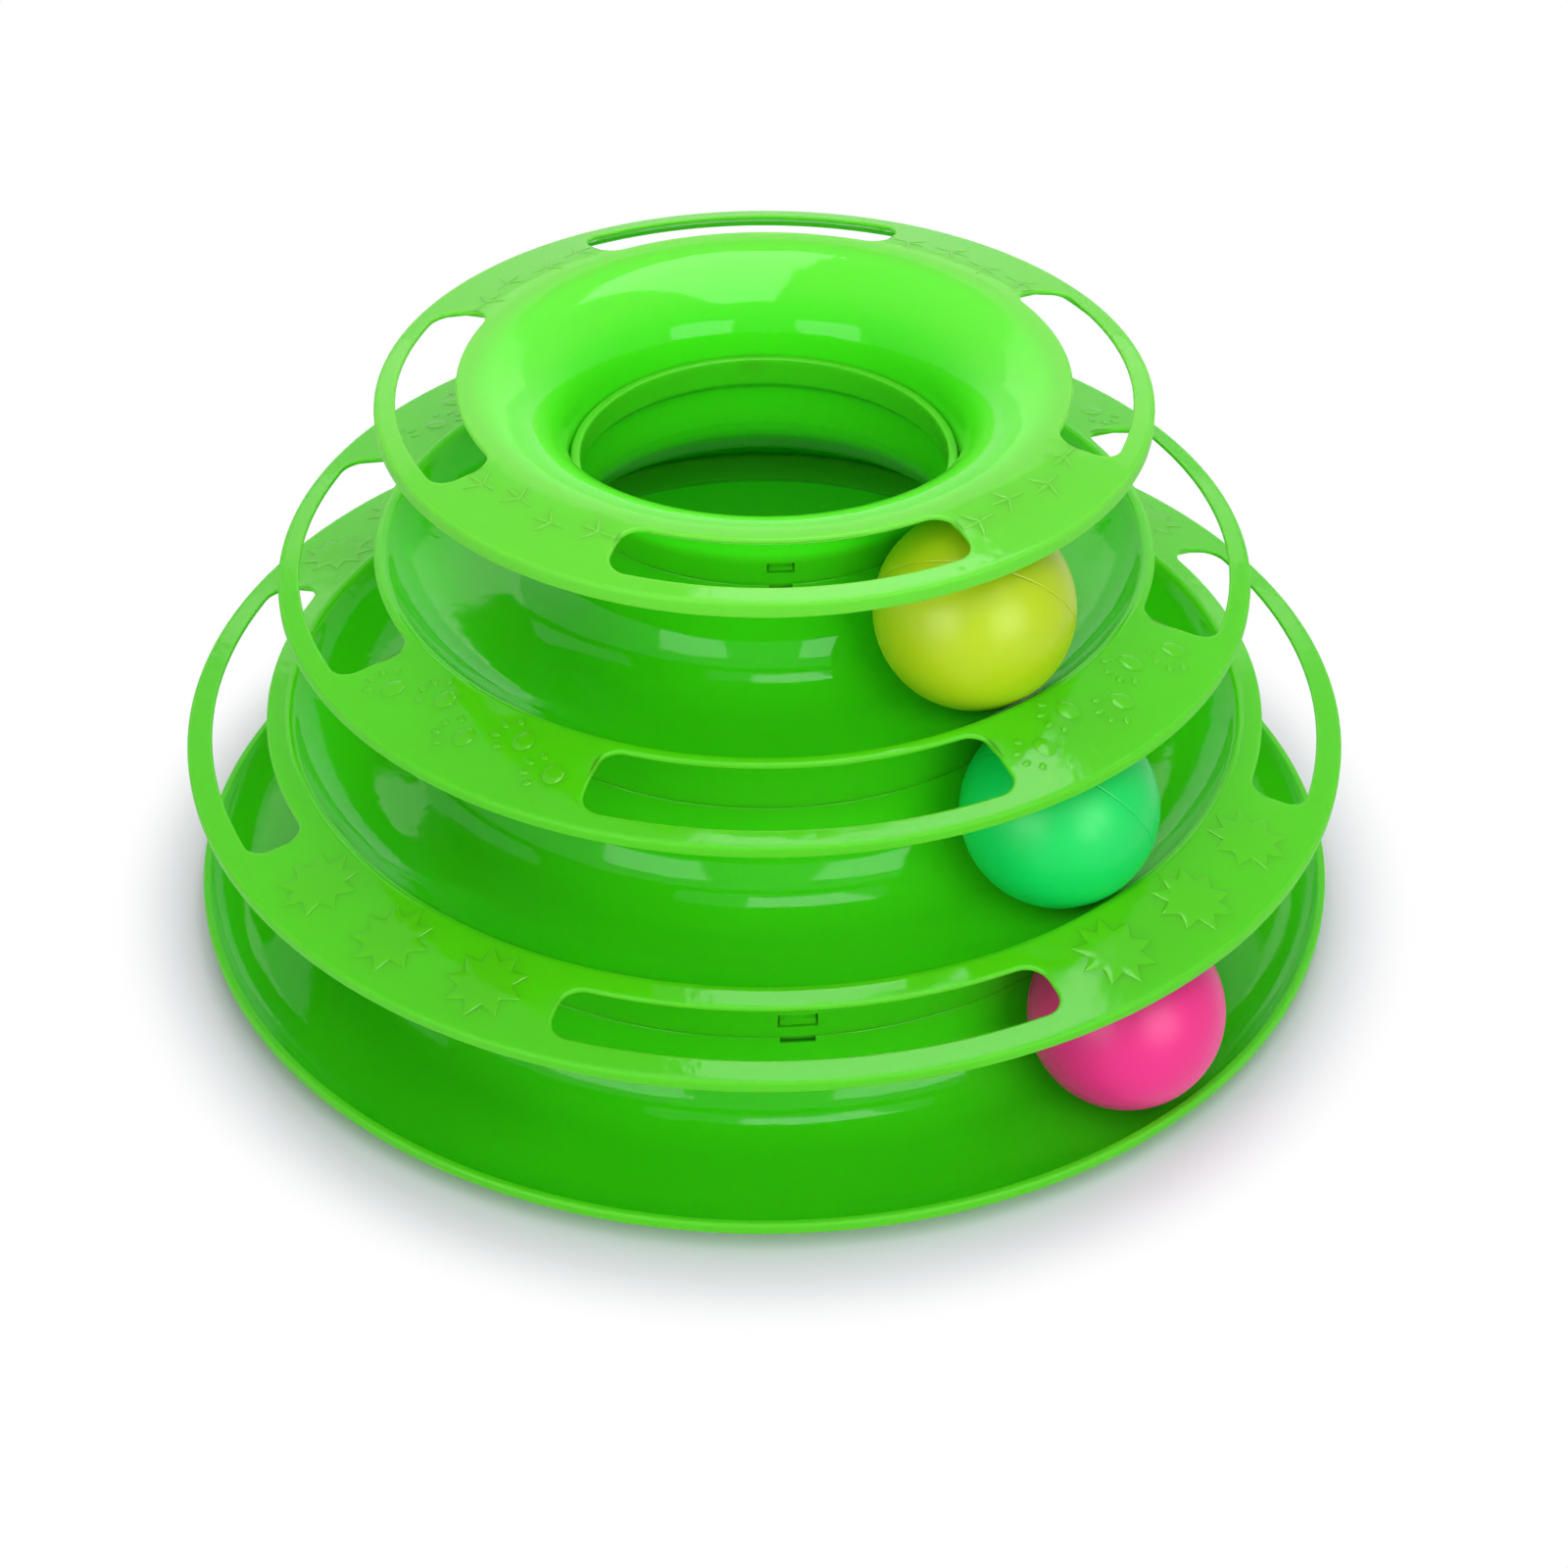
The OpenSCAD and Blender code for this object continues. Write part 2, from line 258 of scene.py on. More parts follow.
class Outline:
    """A line in the r, z plane, traced through corners and arcs, with named rows."""

    FINE_STEP = math.radians(16)
    GUARD = 0.35
    LONGEST = 5.0
    MOST_OF_SIDE = 0.45

    def __init__(self) -> None:
        """Starts an empty line."""
        self.corners: list[tuple[float, float, float, str]] = []

    def to(self, r: float, z: float, fillet: float = 0.0, name: str = "") -> "Outline":
        """Adds a corner with a fillet, and a name for its row. Returns the line itself."""
        self.corners.append((r, z, fillet, name))
        return self

    def arc(
        self,
        centre: Sequence[float],
        size: Sequence[float],
        start: float,
        end: float,
        step: float = 5.0,
    ) -> "Outline":
        """Adds points along part of an ellipse: centre + (a cos t, b sin t).

        Args:
            centre: The middle of the ellipse, r and z.
            size: Its half widths along r and z, equal for a circle.
            start: The first angle, in degrees.
            end: The last angle, in degrees.
            step: Largest turn between two points, in degrees.

        Returns:
            The line itself.
        """
        count = max(2, math.ceil(abs(end - start) / step)) + 1
        turn = np.radians(np.linspace(start, end, count))
        for r, z in zip(centre[0] + size[0] * np.cos(turn), centre[1] + size[1] * np.sin(turn)):
            self.corners.append((float(r), float(z), 0.0, ""))
        return self

    def _fillet(self, before: np.ndarray, corner: np.ndarray, after: np.ndarray, size: float) -> np.ndarray:
        """Arc that touches both sides of a corner.

        Its centre lies size / sin(half the corner's angle) along the bisector.

        Args:
            before: The point before the corner, r and z.
            corner: The corner.
            after: The point after it.
            size: Radius of the arc, which a short side makes smaller.

        Returns:
            The points of the arc (n, 2).
        """
        side_a, side_b = np.linalg.norm(before - corner), np.linalg.norm(after - corner)
        a, b = (before - corner) / side_a, (after - corner) / side_b
        half = math.acos(float(np.clip(a @ b, -1, 1))) / 2
        size = min(size, self.MOST_OF_SIDE * math.tan(half) * min(side_a, side_b))
        reach = size / math.tan(half)
        middle = corner + (a + b) / np.linalg.norm(a + b) * size / math.sin(half)
        start, end = corner + a * reach - middle, corner + b * reach - middle
        sweep = math.pi - 2 * half
        share = np.linspace(0, 1, max(2, math.ceil(sweep / self.FINE_STEP)) + 1)[:, None]
        return middle + (start * np.sin((1 - share) * sweep) + end * np.sin(share * sweep)) / math.sin(sweep)

    def trace(self, closed: bool = False) -> tuple[np.ndarray, dict[str, int]]:
        """Works out the points of the line, with rows that guard each end of a straight part.

        Args:
            closed: True if the last corner leads back to the first.

        Returns:
            The points (n, 2), and the index of each named row.
        """
        spots = np.array([c[:2] for c in self.corners])
        pieces: list[np.ndarray] = []
        names: dict[str, int] = {}
        count = 0
        for i, (_, _, fillet, name) in enumerate(self.corners):
            part = spots[i : i + 1]
            if fillet > 0:
                part = self._fillet(spots[i - 1], spots[i], spots[(i + 1) % len(spots)], fillet)
            if pieces:
                part = np.vstack([self._between(pieces[-1][-1], part[0]), part])
            count += len(part)
            pieces.append(part)
            if name:
                names[name] = count - 1
        line = np.vstack(pieces)
        if closed:
            line = np.vstack([line, self._between(line[-1], line[0])])
        return line, names

    def _between(self, start: np.ndarray, end: np.ndarray) -> np.ndarray:
        """Rows between two points: a guard near each end, and more where the gap is long."""
        length = float(np.linalg.norm(end - start))
        if length < 4 * self.GUARD:
            return np.zeros((0, 2))
        inner = max(0, math.ceil((length - 2 * self.GUARD) / self.LONGEST) - 1)
        low, high = self.GUARD / length, 1 - self.GUARD / length
        share = np.concatenate([[low], low + (high - low) * np.arange(1, inner + 1) / (inner + 1), [high]])
        return start + (end - start) * share[:, None]


class Shell:
    """Points and faces of one mesh, collected as whole arrays."""

    def __init__(self) -> None:
        """Starts an empty shell."""
        self.blocks: list[np.ndarray] = []
        self.faces: list[np.ndarray] = []
        # Points painted in shade: the deep lines of the notches and the edges of the latch pads
        self.painted_shade_points: list[np.ndarray] = []
        self.count = 0

    def add(self, points: np.ndarray) -> np.ndarray:
        """Stores points (..., 3) and returns their indices in the same layout."""
        flat = points.reshape(-1, 3)
        index = np.arange(self.count, self.count + len(flat)).reshape(points.shape[:-1])
        self.blocks.append(flat)
        self.count += len(flat)
        return index

    def band(self, rows: np.ndarray, closed: bool = True, keep: Optional[np.ndarray] = None) -> None:
        """Faces between rows of indices: corner (i, j) joins (i, j + 1), (i + 1, j + 1) and (i + 1, j).

        Args:
            rows: Indices (m, n), one row after another.
            closed: True if the last column leads back to the first.
            keep: Which faces stay, (m - 1, n) or (m - 1, n - 1) if open.
        """
        ahead = np.roll(rows, -1, axis=1)
        faces = np.stack([rows[:-1], ahead[:-1], ahead[1:], rows[1:]], axis=-1)
        if not closed:
            faces = faces[:, :-1]
        if keep is not None:
            faces = faces[np.broadcast_to(keep, faces.shape[:2])]
        self.faces.append(faces.reshape(-1, 4))

    def points(self) -> np.ndarray:
        """All points, in millimetres."""
        return np.concatenate(self.blocks)

    def mesh(self, name: str, sharp: float = 38.0) -> bpy.types.Object:
        """Makes the object. A face with two equal corners becomes a triangle.

        Args:
            name: Name of the piece.
            sharp: Angle in degrees past which an edge stays sharp.

        Returns:
            The new object, at the origin.
        """
        faces = np.concatenate(self.faces)
        doubled = faces == np.roll(faces, -1, axis=1)
        whole = faces[~doubled.any(1)]
        one = doubled.sum(1) == 1
        kept = ~doubled[one]
        triangles = faces[one][kept].reshape(-1, 3)
        data = bpy.data.meshes.new(name)
        data.from_pydata((self.points() * MM).tolist(), [], whole.tolist() + triangles.tolist())
        work = bmesh.new()
        work.from_mesh(data)
        bmesh.ops.recalc_face_normals(work, faces=work.faces)
        work.to_mesh(data)
        work.free()
        data.shade_smooth()
        data.set_sharp_from_angle(angle=math.radians(sharp))
        piece = bpy.data.objects.new(name, data)
        bpy.context.scene.collection.objects.link(piece)
        return piece


def paint(piece: bpy.types.Object, name: str, values: np.ndarray) -> None:
    """Stores one value per point of a piece, for its material to read.

    Args:
        piece: The object.
        name: Name of the attribute.
        values: One number per vertex.
    """
    layer = piece.data.attributes.new(name, "FLOAT", "POINT")
    layer.data.foreach_set("value", np.asarray(values, np.float32))


@dataclass(frozen=True)
class Columns:
    """The columns of a slotted ring: where each stands on the edge of a slot or on a bridge."""

    anchor: np.ndarray
    turn: np.ndarray
    side: np.ndarray
    on_slot: np.ndarray
    on_tip: np.ndarray
    flat: float
    STRAIGHT = 0.2
    BENT = 0.9
    ALONG = 23
    ROUND_END = 11
    ON_BRIDGE = 17
    NEAR_MARK = 0.45

    @classmethod
    def of_ring(cls, k: int, marks: Sequence[float]) -> "Columns":
        """Columns that follow the slots of tier k, with columns at the edges of windows and notches.

        Args:
            k: Number of the tier, 1 to 3.
            marks: Angles from a slot's middle that need a column, in degrees, on either side of it.

        Returns:
            The columns, counter-clockwise from the middle of the bridge before the front slot.
        """
        inner, outer = SIZES.slot_span(k)
        mid, half = (inner + outer) / 2, (outer - inner) / 2
        reach = math.degrees(math.radians(SIZES.slot_angles[k]) - width_angle(2 * half, mid)) / 2
        tip = reach + math.degrees(math.atan2(half + RingMoulding.EDGE, mid))
        along = cls.with_marks(np.linspace(-reach, reach, cls.ALONG), marks)
        quarter = np.radians(np.linspace(0, 90, cls.ROUND_END)[1:])
        bridge = cls.with_marks(np.linspace(tip, 90 - tip, cls.ON_BRIDGE), marks)[1:-1]
        half_count = len(quarter)
        anchor = np.concatenate([np.full(half_count, -reach), along, np.full(half_count, reach), bridge])
        turn = np.concatenate([quarter[::-1], np.zeros(len(along)), quarter, np.zeros(len(bridge))])
        side = np.concatenate([-np.ones(half_count), np.ones(len(along) + half_count + len(bridge))])
        on_slot = np.arange(len(anchor)) < len(anchor) - len(bridge)
        on_tip = np.isclose(turn, math.pi / 2)
        starts = np.radians(SIZES.slot_turn - 90 + 90 * np.arange(QUARTERS))
        return cls(
            anchor=(np.radians(anchor) + starts[:, None]).ravel(),
            turn=np.tile(turn, QUARTERS),
            side=np.tile(side, QUARTERS),
            on_slot=np.tile(on_slot, QUARTERS),
            on_tip=np.tile(on_tip, QUARTERS),
            flat=half - SIZES.slot_corner,
        )

    @classmethod
    def with_marks(cls, angles: np.ndarray, marks: Sequence[float]) -> np.ndarray:
        """Puts the marks that lie inside a range of angles among them, in place of those close by."""
        marks = np.array([m for m in marks if angles[0] < m < angles[-1]])
        if len(marks) == 0:
            return angles
        gap = np.abs(angles[:, None] - marks).min(1)
        gap[[0, -1]] = np.inf
        return np.sort(np.concatenate([angles[gap > cls.NEAR_MARK], marks]))

    def edge(self, mid: float, half: float, way: float) -> tuple[np.ndarray, np.ndarray]:
        """Radius and angle of the slot's edge, half a width from its middle line and round its ends.

        An end is as long as half of the width h and has corners of radius c. With u along the radius, v along
        the turn and f = h - c, its edge runs from (h, 0) along v to (h, f), round the corner to (f, h), and
        along u to (0, h). On a bridge the point is the middle line itself.

        Args:
            mid: Radius of the slot's middle line.
            half: Half of the slot's width.
            way: -1 for the edge nearer the axis and 1 for the other.

        Returns:
            Radii and angles, one for each column.
        """
        share = self.turn / (math.pi / 2)
        corner = half - self.flat
        out = self.flat * np.clip(share / self.STRAIGHT, 0, 1)
        bend = math.pi / 2 * np.clip((share - self.STRAIGHT) / (self.BENT - self.STRAIGHT), 0, 1)
        back = self.flat * np.clip((share - self.BENT) / (1 - self.BENT), 0, 1)
        u = np.where(self.on_slot, mid + way * (self.flat + corner * np.cos(bend) - back), mid)
        v = np.where(self.on_slot, self.side * (out + corner * np.sin(bend)), 0.0)
        return np.hypot(u, v), self.anchor + np.arctan2(v, u)

    def inner_angle(self, mid: float, half: float) -> np.ndarray:
        """Angles of the inner edge, held back near a slot's tips so that no column passes the tip's own."""
        most = math.atan2(half, mid) * (0.9 + 0.1 * self.turn / (math.pi / 2))
        return self.anchor + np.clip(self.edge(mid, half, -1)[1] - self.anchor, -most, most)


@dataclass
class RingMoulding:
    """One moulded ring of the tower, turned from an outline, with its slots, windows and notches."""

    tier: Tier
    EDGE = 0.45
    LOW_EDGE = 0.55
    THINNING = 0.9
    # Where the slotted sheet begins and ends: past the crest or before the slots, and before the lip
    CREST_BORDERS = (0.5, 0.3)
    FUNNEL_BORDERS = (1.1, 1.7)
    LIP_BORDERS = (1.3, 0.7)
    # Height of the bevel inside the lip, and the rounds of its corners in the order of its line
    LIP_INNER_H = 2.2
    LIP_ROUNDS = (0.95, 0.5, 0.4, 0.3, 0.5)
    LIP_FLAT_SHARE = 0.6
    # Rounds of the other corners, in millimetres
    JOINT_ROUND = 0.5
    SKIRT_ROUNDS = (0.4, 0.3)
    BORE_ROUND = 0.8
    COLLAR_ROUNDS = (0.45, 0.6, 0.2)
    SEAM_ROUND = 0.35
    RIM_ROUNDS = (0.45, 0.6, 0.5)
    # A latch pad: bevel of its nose, how far its top leans in and falls, and its columns
    PAD_EASE = 0.25
    PAD_TOP = (0.15, 0.075)
    PAD_SWEEP = np.array([-1, -0.93, -0.5, 0, 0.5, 0.93, 1])
    # How much of the turn to the slotted sheet the top ring's crest makes as an arc
    LEAN_SHARE = 0.8
    # Where the light of a free edge begins and is full, in millimetres from it, and how strong it is
    RIM_GLOW = (2.0, 0.6)
    LIP_GLOW = (1.3, 0.1)
    LIP_INSIDE_GLOW = (0.3, 0.8)
    SLOT_GLOW = (0.75, 0.1, 0.85)
    COLLAR_GLOW = (1.6, 0.2, 0.8)
    # How far the painted light of the open sheet, of the side round the hole and of the top ring's upper
    # sheet reaches, and how strong it is
    OPEN_RIM = (5.0, 0.6)
    OPEN_BRIM = (5.0, 1.0)
    OPEN_FUNNEL = (2.0, 12.0)
    BORE_WALL = (1.4, 0.4)
    BORE_FUNNEL = (1.0, 2.0, 7.0)
    CROWN_RISE = (2.0, 13.0)
    CROWN_REACH = 8.0
    PALE_CROWN = 0.3
    STRIP_SHARES = 1 - (1 - np.linspace(0, 1, 7)[1:-1]) ** 1.7

    @property
    def k(self) -> int:
        """Number of the tier."""
        return self.tier.value

    def crest(self) -> np.ndarray:
        """Middle of the round over the crest, r and z."""
        s = SIZES
        return np.array([s.path_r(self.k) + s.crest_reach, s.floor_z(self.k) + s.crest_h - s.crest_r])

    @staticmethod
    def top_crest() -> np.ndarray:
        """Middle of the round over the top ring's crest, r and z."""
        return np.array([SIZES.top_crest_r, SIZES.top_crest_z - SIZES.top_crest_round])

    def sheet(self, depth: float) -> Callable[[np.ndarray], np.ndarray]:
        """Height of the brim's sheet over r, at a depth below its upper face.

        The height is a round of the crest up to the tangent point, and then a line with the brim's slope.

        Args:
            depth: Distance below the upper face, along the sheet's normal.

        Returns:
            A function from radii to heights.
        """
        centre, radius = self.crest(), SIZES.crest_r
        if self.tier is Tier.TOP:
            centre, radius = self.top_crest(), SIZES.top_crest_round
        radius -= depth
        slope = SIZES.brim_slope
        touch = centre + radius * np.array([math.sin(slope), math.cos(slope)])

        def height(r: np.ndarray) -> np.ndarray:
            """Height of the sheet at the radii r."""
            r = np.asarray(r, float)
            round_part = centre[1] + np.sqrt(np.maximum(radius**2 - (r - centre[0]) ** 2, 0))
            return np.where(r < touch[0], round_part, touch[1] - (r - touch[0]) * math.tan(slope))

        return height

    def borders(self) -> tuple[float, float, float, float]:
        """Radii where the slotted sheet begins and ends, on its upper face and then on its lower one."""
        start, end = self.crest()[0] + np.array(self.CREST_BORDERS), SIZES.lip_r(self.k)
        if self.tier is Tier.TOP:
            start = SIZES.slot_span(3)[0] - np.array(self.FUNNEL_BORDERS)
        before, before_low = self.LIP_BORDERS
        return start[0], end - before, start[1], end - SIZES.wall - before_low

    def lip_outline(self) -> tuple[np.ndarray, dict[str, int]]:
        """Line over the lip: from the brim's upper face round the rolled edge, and up the bevel inside it."""
        s, top, low = SIZES, self.sheet(0.0), self.sheet(SIZES.wall)
        lip, low_z = s.lip_r(self.k), s.lip_low_z(self.k)
        _, start, _, end = self.borders()
        rolled, outer, under, bevel, inner = self.LIP_ROUNDS
        line = Outline().to(start, float(top(start)))
        line.to(lip, float(top(lip)), rolled).to(lip, low_z, outer)
        line.to(lip - self.LIP_FLAT_SHARE * s.wall, low_z, under)
        line.to(lip - s.wall, s.brim_end_z(self.k) - self.LIP_INNER_H, bevel)
        line.to(lip - s.wall, float(low(lip - s.wall)), inner).to(end, float(low(end)))
        return line.trace()

    def skirt(self, line: Outline, foot_z: float, top_low: float, top_high: float) -> None:
        """Adds the skirt that comes down round the collar below, with the rows of its windows.

        Args:
            line: The line, which arrives at the skirt's outer face.
            foot_z: Height of the skirt's lower edge.
            top_low: Height where the outer face begins.
            top_high: Height where the inner face ends.
        """
        s, j = SIZES, self.k - 1
        out_r, in_r = s.wall_r(j), s.skirt_r(j)
        low = s.seam_z(j) + s.latch_rise - s.latch_gap
        high = low + s.latch_heights[j] + 2 * s.latch_gap
        joint = 0.0 if self.tier is Tier.TOP else self.JOINT_ROUND
        outer, inner = self.SKIRT_ROUNDS
        line.to(out_r, top_low, joint)
        line.to(out_r, high, name="window_out_high").to(out_r, low, name="window_out_low")
        line.to(out_r, foot_z, outer).to(in_r, foot_z, inner)
        line.to(in_r, low, name="window_in_low").to(in_r, high, name="window_in_high")
        line.to(in_r, top_high, joint)

    def wall_and_collar(self, line: Outline) -> None:
        """Adds the inner wall: up its inside, over the collar, along the seam and down into the hollow.

        Args:
            line: The line, which arrives below the wall.
        """
        s, k = SIZES, self.k
        f, seam, top = s.floor_z(k), s.seam_z(k), s.collar_top_z(k)
        bore = s.collar_r(k) - s.collar_t
        bevel, step = s.collar_t / 4, s.skirt_r(k) - bore
        hollow = (s.wall_r(k) + s.hollow_r, f + s.hollow_r)
        line.arc(hollow, (s.hollow_r + s.wall,) * 2, 270, 180, 7.5)
        line.to(s.skirt_r(k), seam - bevel - step, self.BORE_ROUND).to(bore, seam - bevel, self.BORE_ROUND)
        inner, outer, foot = self.COLLAR_ROUNDS
        line.to(bore, top, inner).to(s.collar_r(k), top, outer).to(s.collar_r(k), seam, foot)
        line.to(s.wall_r(k) - s.notch_depth, seam, name="notch_in")
        line.to(s.wall_r(k), seam, self.SEAM_ROUND).to(s.wall_r(k), seam - s.notch_h, name="notch_low")
        line.arc(hollow, (s.hollow_r,) * 2, 180, 270, 5)

    def body_outline(self) -> tuple[np.ndarray, dict[str, int]]:
        """Line round the rest of the ring: from the brim's underside, past the axis side, to the crest."""
        s, k = SIZES, self.k
        top, low = self.sheet(0.0), self.sheet(s.wall)
        start_top, _, start_low, _ = self.borders()
        line = Outline().to(start_low, float(low(start_low)))
        if self.tier is Tier.TOP:
            centre, radius = self.top_crest(), s.top_crest_round
            foot_z = s.collar_top_z(2) + s.funnel_gap
            funnel_c = (s.top_crest_r, foot_z)
            width, height = s.top_crest_r - s.skirt_r(2), s.top_crest_z - foot_z
            lean = math.degrees(math.asin((start_low - centre[0]) / (radius - s.wall)))
            line.arc(centre, (radius - s.wall,) * 2, 90 - self.LEAN_SHARE * lean, 90, 4)
            line.arc(funnel_c, (width - s.wall, height - s.wall), 93, 177, 6)
            self.skirt(line, s.seam_z(2), foot_z, foot_z)
            line.arc(funnel_c, (width, height), 176, 93, 3)
            lean = math.degrees(math.asin((start_top - centre[0]) / radius))
            line.arc(centre, (radius,) * 2, 90, 90 - self.LEAN_SHARE * lean, 2)
            return line.to(start_top, float(top(start_top))).trace()
        f = s.floor_z(k)
        trough = (s.path_r(k), f + s.trough_r)
        turn = math.degrees(s.crest_turn)
        slope = math.degrees(s.brim_slope)
        line.arc(self.crest(), (s.crest_r - s.wall,) * 2, 90 - slope, 90 + turn, 30)
        under = s.trough_r + s.wall
        skirt_turn = math.degrees(math.asin((s.wall_r(k - 1) - trough[0]) / under))
        line.arc(trough, (under,) * 2, 270 + turn, 270 + skirt_turn + 3, 5)
        under_z = trough[1] - under * math.cos(math.radians(skirt_turn))
        self.skirt(line, s.seam_z(k - 1), under_z, f - s.wall)
        self.wall_and_collar(line)
        line.arc(trough, (s.trough_r,) * 2, 270, 270 + turn - 4, 4)
        line.arc(self.crest(), (s.crest_r,) * 2, 90 + turn, 90 - slope, 12)
        return line.to(start_top, float(top(start_top))).trace()

    def base_outline(self) -> tuple[np.ndarray, dict[str, int]]:
        """Closed line of the base: inner wall, flat floor and the low rim that curves up round it."""
        s = SIZES
        f, edge = s.floor_z(0), s.overall_d / 2
        flat_r = s.path_r(0) + s.base_flat
        run = edge - s.rim_w - flat_r
        side_r = (run**2 + s.rim_rise**2) / (2 * s.rim_rise)
        side_c = (flat_r, f + side_r)
        side_turn = math.degrees(math.asin(run / side_r))
        low_turn = math.degrees(math.acos((side_r - s.rim_rise + s.rim_h) / (side_r + s.wall)))
        line = Outline()
        self.wall_and_collar(line)
        line.arc(side_c, (side_r,) * 2, 270, 270 + side_turn - 4, 6)
        inner, outer, under = self.RIM_ROUNDS
        line.to(edge - s.rim_w, f + s.rim_rise, inner).to(edge, f + s.rim_rise, outer)
        line.to(edge, f + s.rim_rise - s.rim_h, under)
        line.arc(side_c, (side_r + s.wall,) * 2, 270 + low_turn, 270, 6)
        return line.trace(closed=True)

    def window_marks(self) -> tuple[float, float]:
        """Turn and half angle of the windows in the skirt, in degrees."""
        s, j = SIZES, self.k - 1
        half = math.degrees(width_angle(s.latch_widths[j] + 2 * s.latch_gap, s.wall_r(j))) / 2
        return s.latch_turns[j], half

    def notch_marks(self) -> tuple[float, float]:
        """Turn and half angle of the notches under the seam, in degrees."""
        s, k = SIZES, self.k
        half = math.degrees(width_angle(s.latch_widths[k] - 2 * s.latch_gap, s.wall_r(k))) / 2
        return s.latch_turns[k], half

    @staticmethod
    def near_marks(angles: np.ndarray, turn: float, half: float) -> np.ndarray:
        """Which columns lie on or between the edges of a window or notch."""
        start = math.radians(SIZES.slot_turn - 90 + turn)
        offset = (angles - start + math.pi / 4) % (math.pi / 2) - math.pi / 4
        return np.abs(offset) < math.radians(half + 0.01)

    @staticmethod
    def both_ends(inside: np.ndarray) -> tuple[np.ndarray, np.ndarray]:
        """The first and the last column of each run of marked columns."""
        return inside & ~np.roll(inside, 1), inside & ~np.roll(inside, -1)

    def cut_windows(
        self, shell: Shell, rows: np.ndarray, names: dict[str, int], keep: np.ndarray, angles: np.ndarray
    ) -> None:
        """Opens the windows through the skirt: drops both faces there and lines the hole's four sides.

        Args:
            shell: The ring's shell.
            rows: Indices of the turned outline.
            names: Named rows of the outline.
            keep: Which faces stay, changed here.
            angles: The angle of each column.
        """
        inside = self.near_marks(angles, *self.window_marks())
        pair = inside & np.roll(inside, -1)
        out_high, out_low = names["window_out_high"], names["window_out_low"]
        in_low, in_high = names["window_in_low"], names["window_in_high"]
        keep[out_high:out_low, pair] = False
        keep[in_low:in_high, pair] = False
        shell.band(rows[[out_low, in_low]], keep=pair)
        shell.band(rows[[in_high, out_high]], keep=pair)
        outside, within = rows[out_high : out_low + 1], rows[in_low : in_high + 1][::-1]
        for edge in self.both_ends(inside):
            out, back = outside[:, edge], within[:, edge]
            side = np.stack([out[:-1], out[1:], back[1:], back[:-1]], axis=-1)
            shell.faces.append(side.reshape(-1, 4))

    def cut_notches(
        self, shell: Shell, rows: np.ndarray, names: dict[str, int], keep: np.ndarray, angles: np.ndarray
    ) -> None:
        """Sinks the notches under the seam: drops the wall's face there and lines the recess behind it.

        Args:
            shell: The ring's shell.
            rows: Indices of the turned outline.
            names: Named rows of the outline.
            keep: Which faces stay, changed here.
            angles: The angle of each column.
        """
        s, k = SIZES, self.k
        inside = self.near_marks(angles, *self.notch_marks())
        pair = inside & np.roll(inside, -1)
        first, last = names["notch_in"], names["notch_low"]
        keep[first:last, pair] = False
        deep = np.full(len(angles), -1)
        place = turned_points(s.wall_r(k) - s.notch_depth, angles[inside], s.seam_z(k) - s.notch_h)
        deep[inside] = shell.add(place)
        # The deep line of the notch is painted in shade.
        shell.painted_shade_points.append(deep[inside])
        shell.band(np.stack([rows[first], deep, rows[last]]), keep=pair)
        for edge in self.both_ends(inside):
            run = rows[first : last + 1, edge]
            corner = np.broadcast_to(deep[edge], run[1:].shape)
            shell.faces.append(np.stack([corner, corner, run[:-1], run[1:]], axis=-1).reshape(-1, 4))

    def latch_pads(self, shell: Shell) -> None:
        """Adds the wedge pads of the collar: the outline of a wedge turned through the pad's angle.

        Args:
            shell: The ring's shell.
        """
        s, k = SIZES, self.k
        low, high = s.seam_z(k) + s.latch_rise, s.seam_z(k) + s.latch_rise + s.latch_heights[k]
        sunk, nose, face = s.collar_r(k) - s.collar_t / 2, s.wall_r(k) - s.latch_gap, s.collar_r(k)
        ease, (lean, fall) = self.PAD_EASE, self.PAD_TOP
        outline = np.array([
            [sunk, low], [nose - ease, low], [nose, low + ease], [nose, (low + high) / 2],
            [face + lean * (nose - face), high - fall * (high - low)], [face, high], [sunk, high],
        ])
        half = width_angle(s.latch_widths[k], s.wall_r(k)) / 2
        sweep = half * self.PAD_SWEEP
        for i in range(QUARTERS):
            start = math.radians(s.slot_turn - 90 + s.latch_turns[k] + 90 * i)
            rows = shell.add(turned_points(outline[:, :1], start + sweep, outline[:, 1:]))
            # The pad's low and high rows and its ends are painted in shade, for the dark gap round it.
            shell.painted_shade_points += [rows[:2].ravel(), rows[-2:].ravel(), rows[:, 0], rows[:, -1]]
            shell.band(np.vstack([rows, rows[:1]]), closed=False)
            for end in (rows[:, 0], rows[:, -1]):
                first = np.broadcast_to(end[0], end[1:-1].shape)
                shell.faces.append(np.stack([first, first, end[1:-1], end[2:]], axis=-1))

